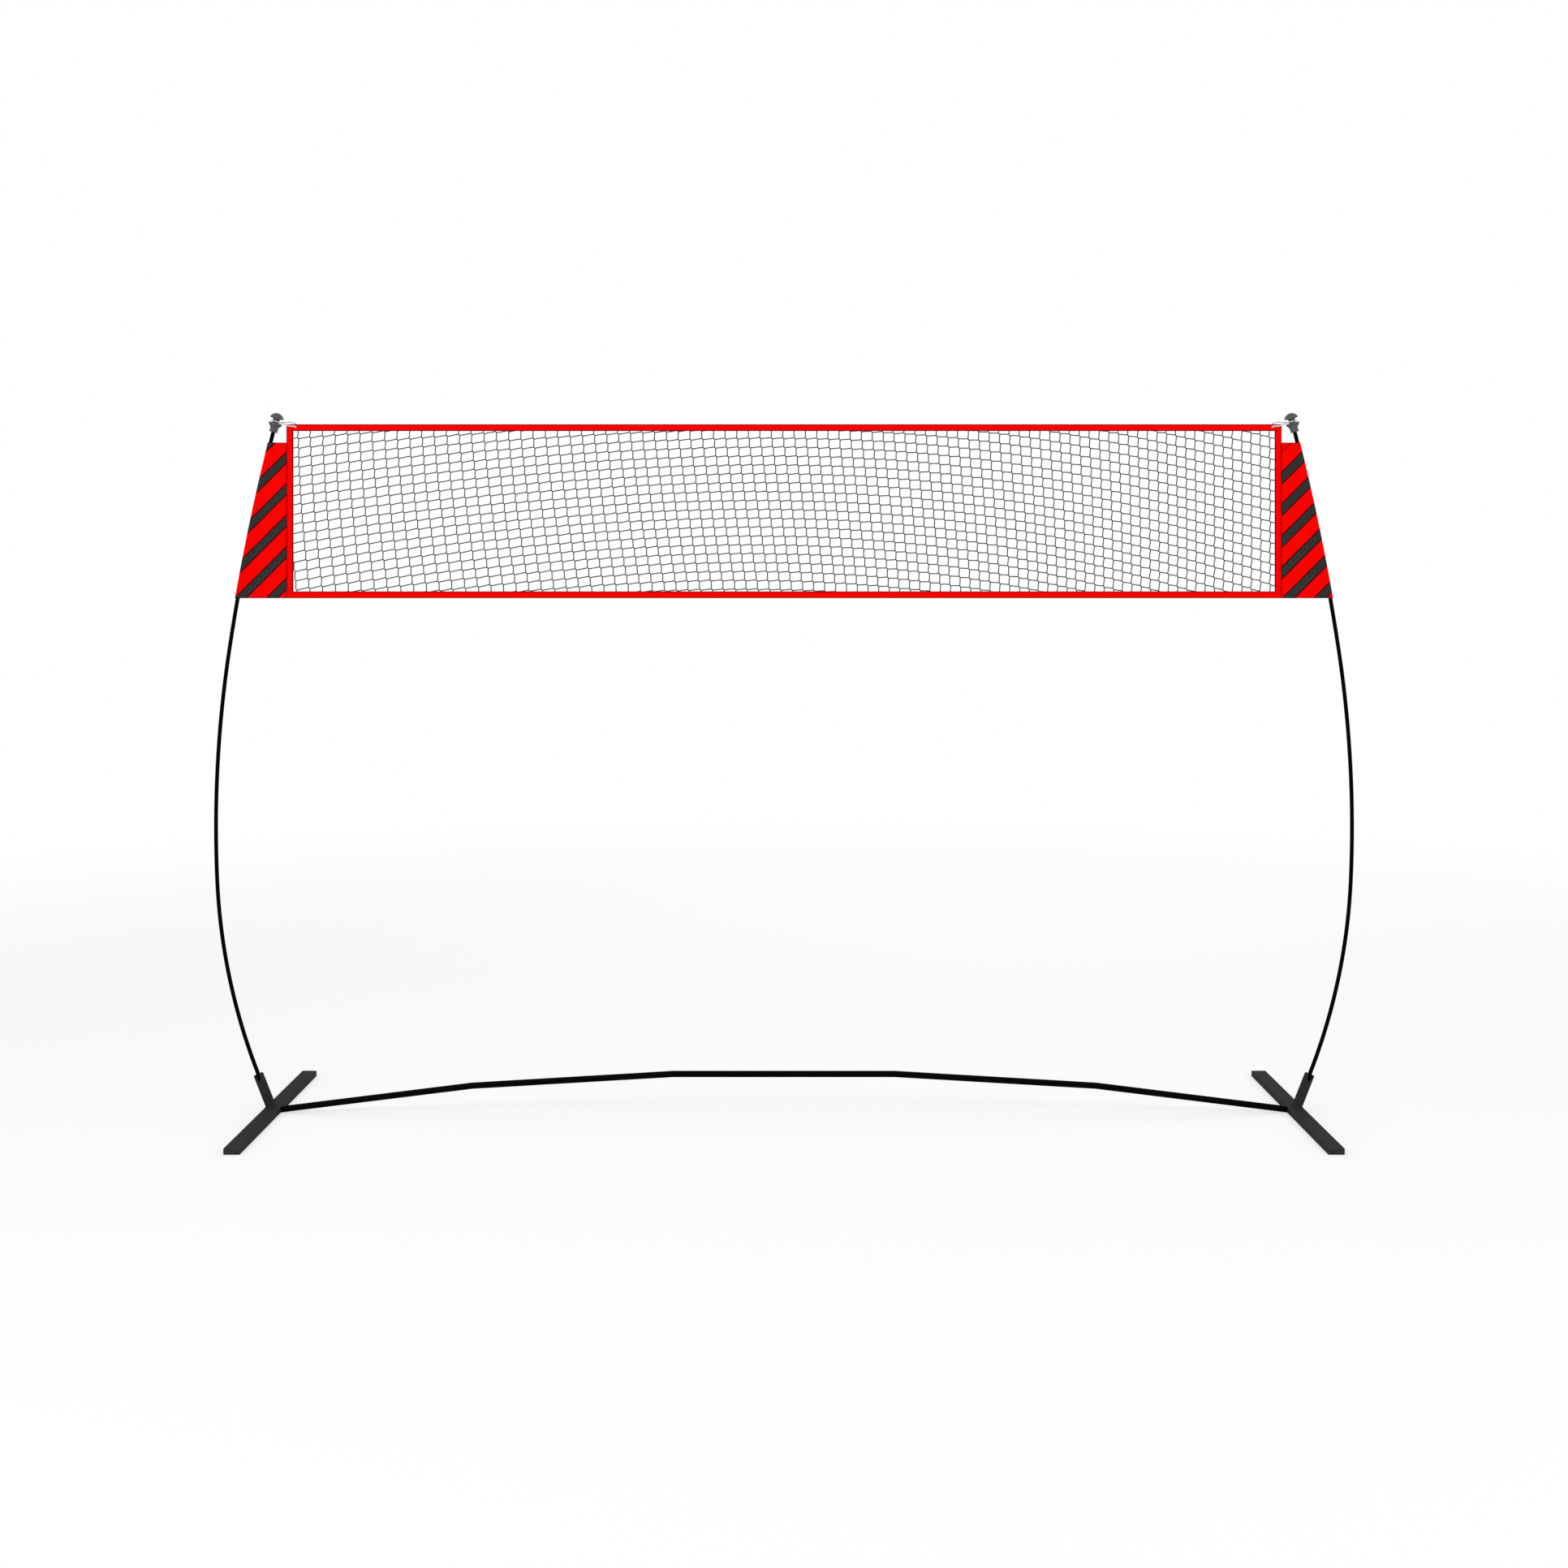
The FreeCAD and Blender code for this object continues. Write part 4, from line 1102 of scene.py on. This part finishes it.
loop = {
    "groove": (1.79333, 0.0, 2.43929),
    "lean": -14.47,             # of the cap, degrees
    "neck": 0.0161,             # radius of the line's control points round the neck
    "neckDegrees": (90, 135, 180, 225, 270),
    # control points from the cap's axis towards the eyelet, backwards and up along the cap
    "front": ((0.0125, -0.0115, 0.0003), (0.0240, -0.0032, 0.0006), (0.0320, -0.0030, -0.0026),
              (0.0410, -0.0050, -0.0042), (0.0510, -0.0056, -0.0030), (0.0600, -0.0058, -0.0016),
              (0.0665, -0.0062, -0.0006), (0.0714, -0.0042, -0.0002)),
    "hole": (0.0717, 0.0, 0.0001),
    "back": ((0.0716, 0.0042, 0.0009), (0.0710, 0.0062, 0.0052), (0.0680, 0.0056, 0.0095),
             (0.0615, 0.0038, 0.0120), (0.0525, 0.0012, 0.0116), (0.0420, 0.0002, 0.0094),
             (0.0325, 0.0010, 0.0058), (0.0244, 0.0029, 0.0024), (0.0125, 0.0115, 0.0006)),
    "radius": 0.0025,
    "strands": 4,               # each way round
    "turns": 13,
    "strandHalf": 0.00095,
    "strandDepth": 0.00045,
    "strandSides": 6,
    "weave": 0.0004,            # how far a strand dips at each crossing
    "step": 0.00045,
}


def loopLine():
    # smooth closed line, from a spline with a control point wherever the loop turns
    spots = []
    for turn in map(math.radians, loop["neckDegrees"]):
        spots.append((loop["neck"] * math.cos(turn), loop["neck"] * math.sin(turn), 0.0))
    spots += [*loop["front"], loop["hole"], *loop["back"]]
    curve = bpy.data.curves.new("loopLine", "CURVE")
    curve.dimensions = "3D"
    curve.resolution_u = 40
    spline = curve.splines.new("NURBS")
    spline.points.add(len(spots) - 1)
    lean = math.radians(loop["lean"])
    towards = Vector((-math.cos(lean), 0, math.sin(lean)))
    along = Vector((math.sin(lean), 0, math.cos(lean)))
    for point, (a, b, c) in zip(spline.points, spots):
        place = Vector(loop["groove"]) + towards * a + depth * b + along * c
        point.co = (*place, 1.0)
    spline.use_cyclic_u = True
    spline.order_u = 4
    holder = addObject("loopLine", curve)
    mesh = finishedMesh(holder)
    line = [v.co.copy() for v in mesh.vertices]
    bpy.data.objects.remove(holder)
    bpy.data.meshes.remove(mesh)
    return line, along


def evenly(line, step):
    # the same closed line with points at even distances
    ring = line + line[:1]
    run = lengthsAlong(ring)
    count = round(run[-1] / step)
    spots = []
    k = 0
    for distance in spread(0.0, run[-1], count)[:-1]:
        while run[k + 1] < distance:
            k += 1
        spots.append(ring[k].lerp(ring[k + 1], (distance - run[k]) / (run[k + 1] - run[k])))
    return spots, run[-1]


def braid(shape, line, facing, cord):
    # strands that run both ways round a core, each over one and under the next
    stations = stationsAlong(line, facing, True)
    core = cord["radius"] - cord["strandDepth"] - cord["weave"]
    sweep(shape, stations, oval(core, core), True)
    outline = oval(cord["strandHalf"], cord["strandDepth"], cord["strandSides"])
    for way in (-1, 1):
        for k in range(cord["strands"]):
            points, outward = [], []
            for n, (centre, side, rise) in enumerate(stations):
                turn = way * 2 * math.pi * cord["turns"] * n / len(stations)
                angle = turn + 2 * math.pi * k / cord["strands"]
                out = side * math.cos(angle) + rise * math.sin(angle)
                over = way * cord["weave"] * math.cos(cord["strands"] * turn)
                points.append(centre + out * (core + over))
                outward.append(out)
            sweep(shape, stationsAlong(points, outward, True), outline, True)


loopPoints, loopFacing = loopLine()
loopPoints, loopLength = evenly(loopPoints, loop["step"])
loopShape = startShape()
braid(loopShape, loopPoints, carriedAlong(loopPoints, loopFacing), loop)
addBothSides("cornerLoop", loopShape, "white_cord", "corner_loop")
print("the corner loops are braided, each from", round(loopLength, 3), "m of cord")


# Elastic cords inside the poles and the crossbar

shock = {
    "poleRadius": 0.0020,
    "poleEnds": (0.010, 2.453),
    "barRadius": 0.0025,
    "barPoints": ((-1.6912, 0.02231), (-1.10128, 0.09526), (-0.391, 0.13671)),
    "step": 0.05,
}


def elasticCords():
    low, high = shock["poleEnds"]
    line = [poleSpot(distance)[0]
            for distance in spread(low, high, round((high - low) / shock["step"]))]
    shape = startShape()
    sweep(shape, stationsAlong(line, depth), oval(shock["poleRadius"], shock["poleRadius"]))
    addBothSides("poleElastic", shape, "shock_cord", "pole_shock_cord")
    left = [Vector((x, 0, z)) for x, z in shock["barPoints"]]
    right = [Vector((-p.x, 0, p.z)) for p in reversed(left)]
    shape = startShape()
    sweep(shape, stationsAlong(left + right, depth),
          oval(shock["barRadius"], shock["barRadius"]))
    addPiece("crossbarElastic", shape, "shock_cord", ["crossbar_shock_cord"])


elasticCords()


# Weld beads between the sockets and the feet

weld = {
    "centre": (1.81066, 0.0, 0.0222),
    "halfX": 0.01853,
    "halfY": 0.01725,
    "radius": 0.0027,
    "ripple": 0.12,
    "ripples": 44,
    "rippleSteps": 6,
    "footEdge": 1.8265,         # where the foot's top starts to round off
    "footCorner": 0.003,        # radius of that rounding
}


def weldBead():
    shape = startShape()
    steps = weld["rippleSteps"]
    count = weld["ripples"] * steps
    line, swell = [], []
    for k in range(count):
        turn = 2 * math.pi * k / count
        x = weld["centre"][0] + weld["halfX"] * math.cos(turn)
        drop = max(0.0, x + weld["radius"] - weld["footEdge"])
        line.append(Vector((x, weld["halfY"] * math.sin(turn),
                            weld["centre"][2] - drop ** 2 / (2 * weld["footCorner"]))))
        phase = k / steps % 1.0
        swell.append(1.0 + weld["ripple"] * (4 * phase * (1 - phase) - 0.5))
    sweep(shape, stationsAlong(line, up, True), oval(weld["radius"], weld["radius"]),
          True, swell)
    return shape


addBothSides("weldBead", weldBead(), "foot_coating")
print("cords and welds are in place")
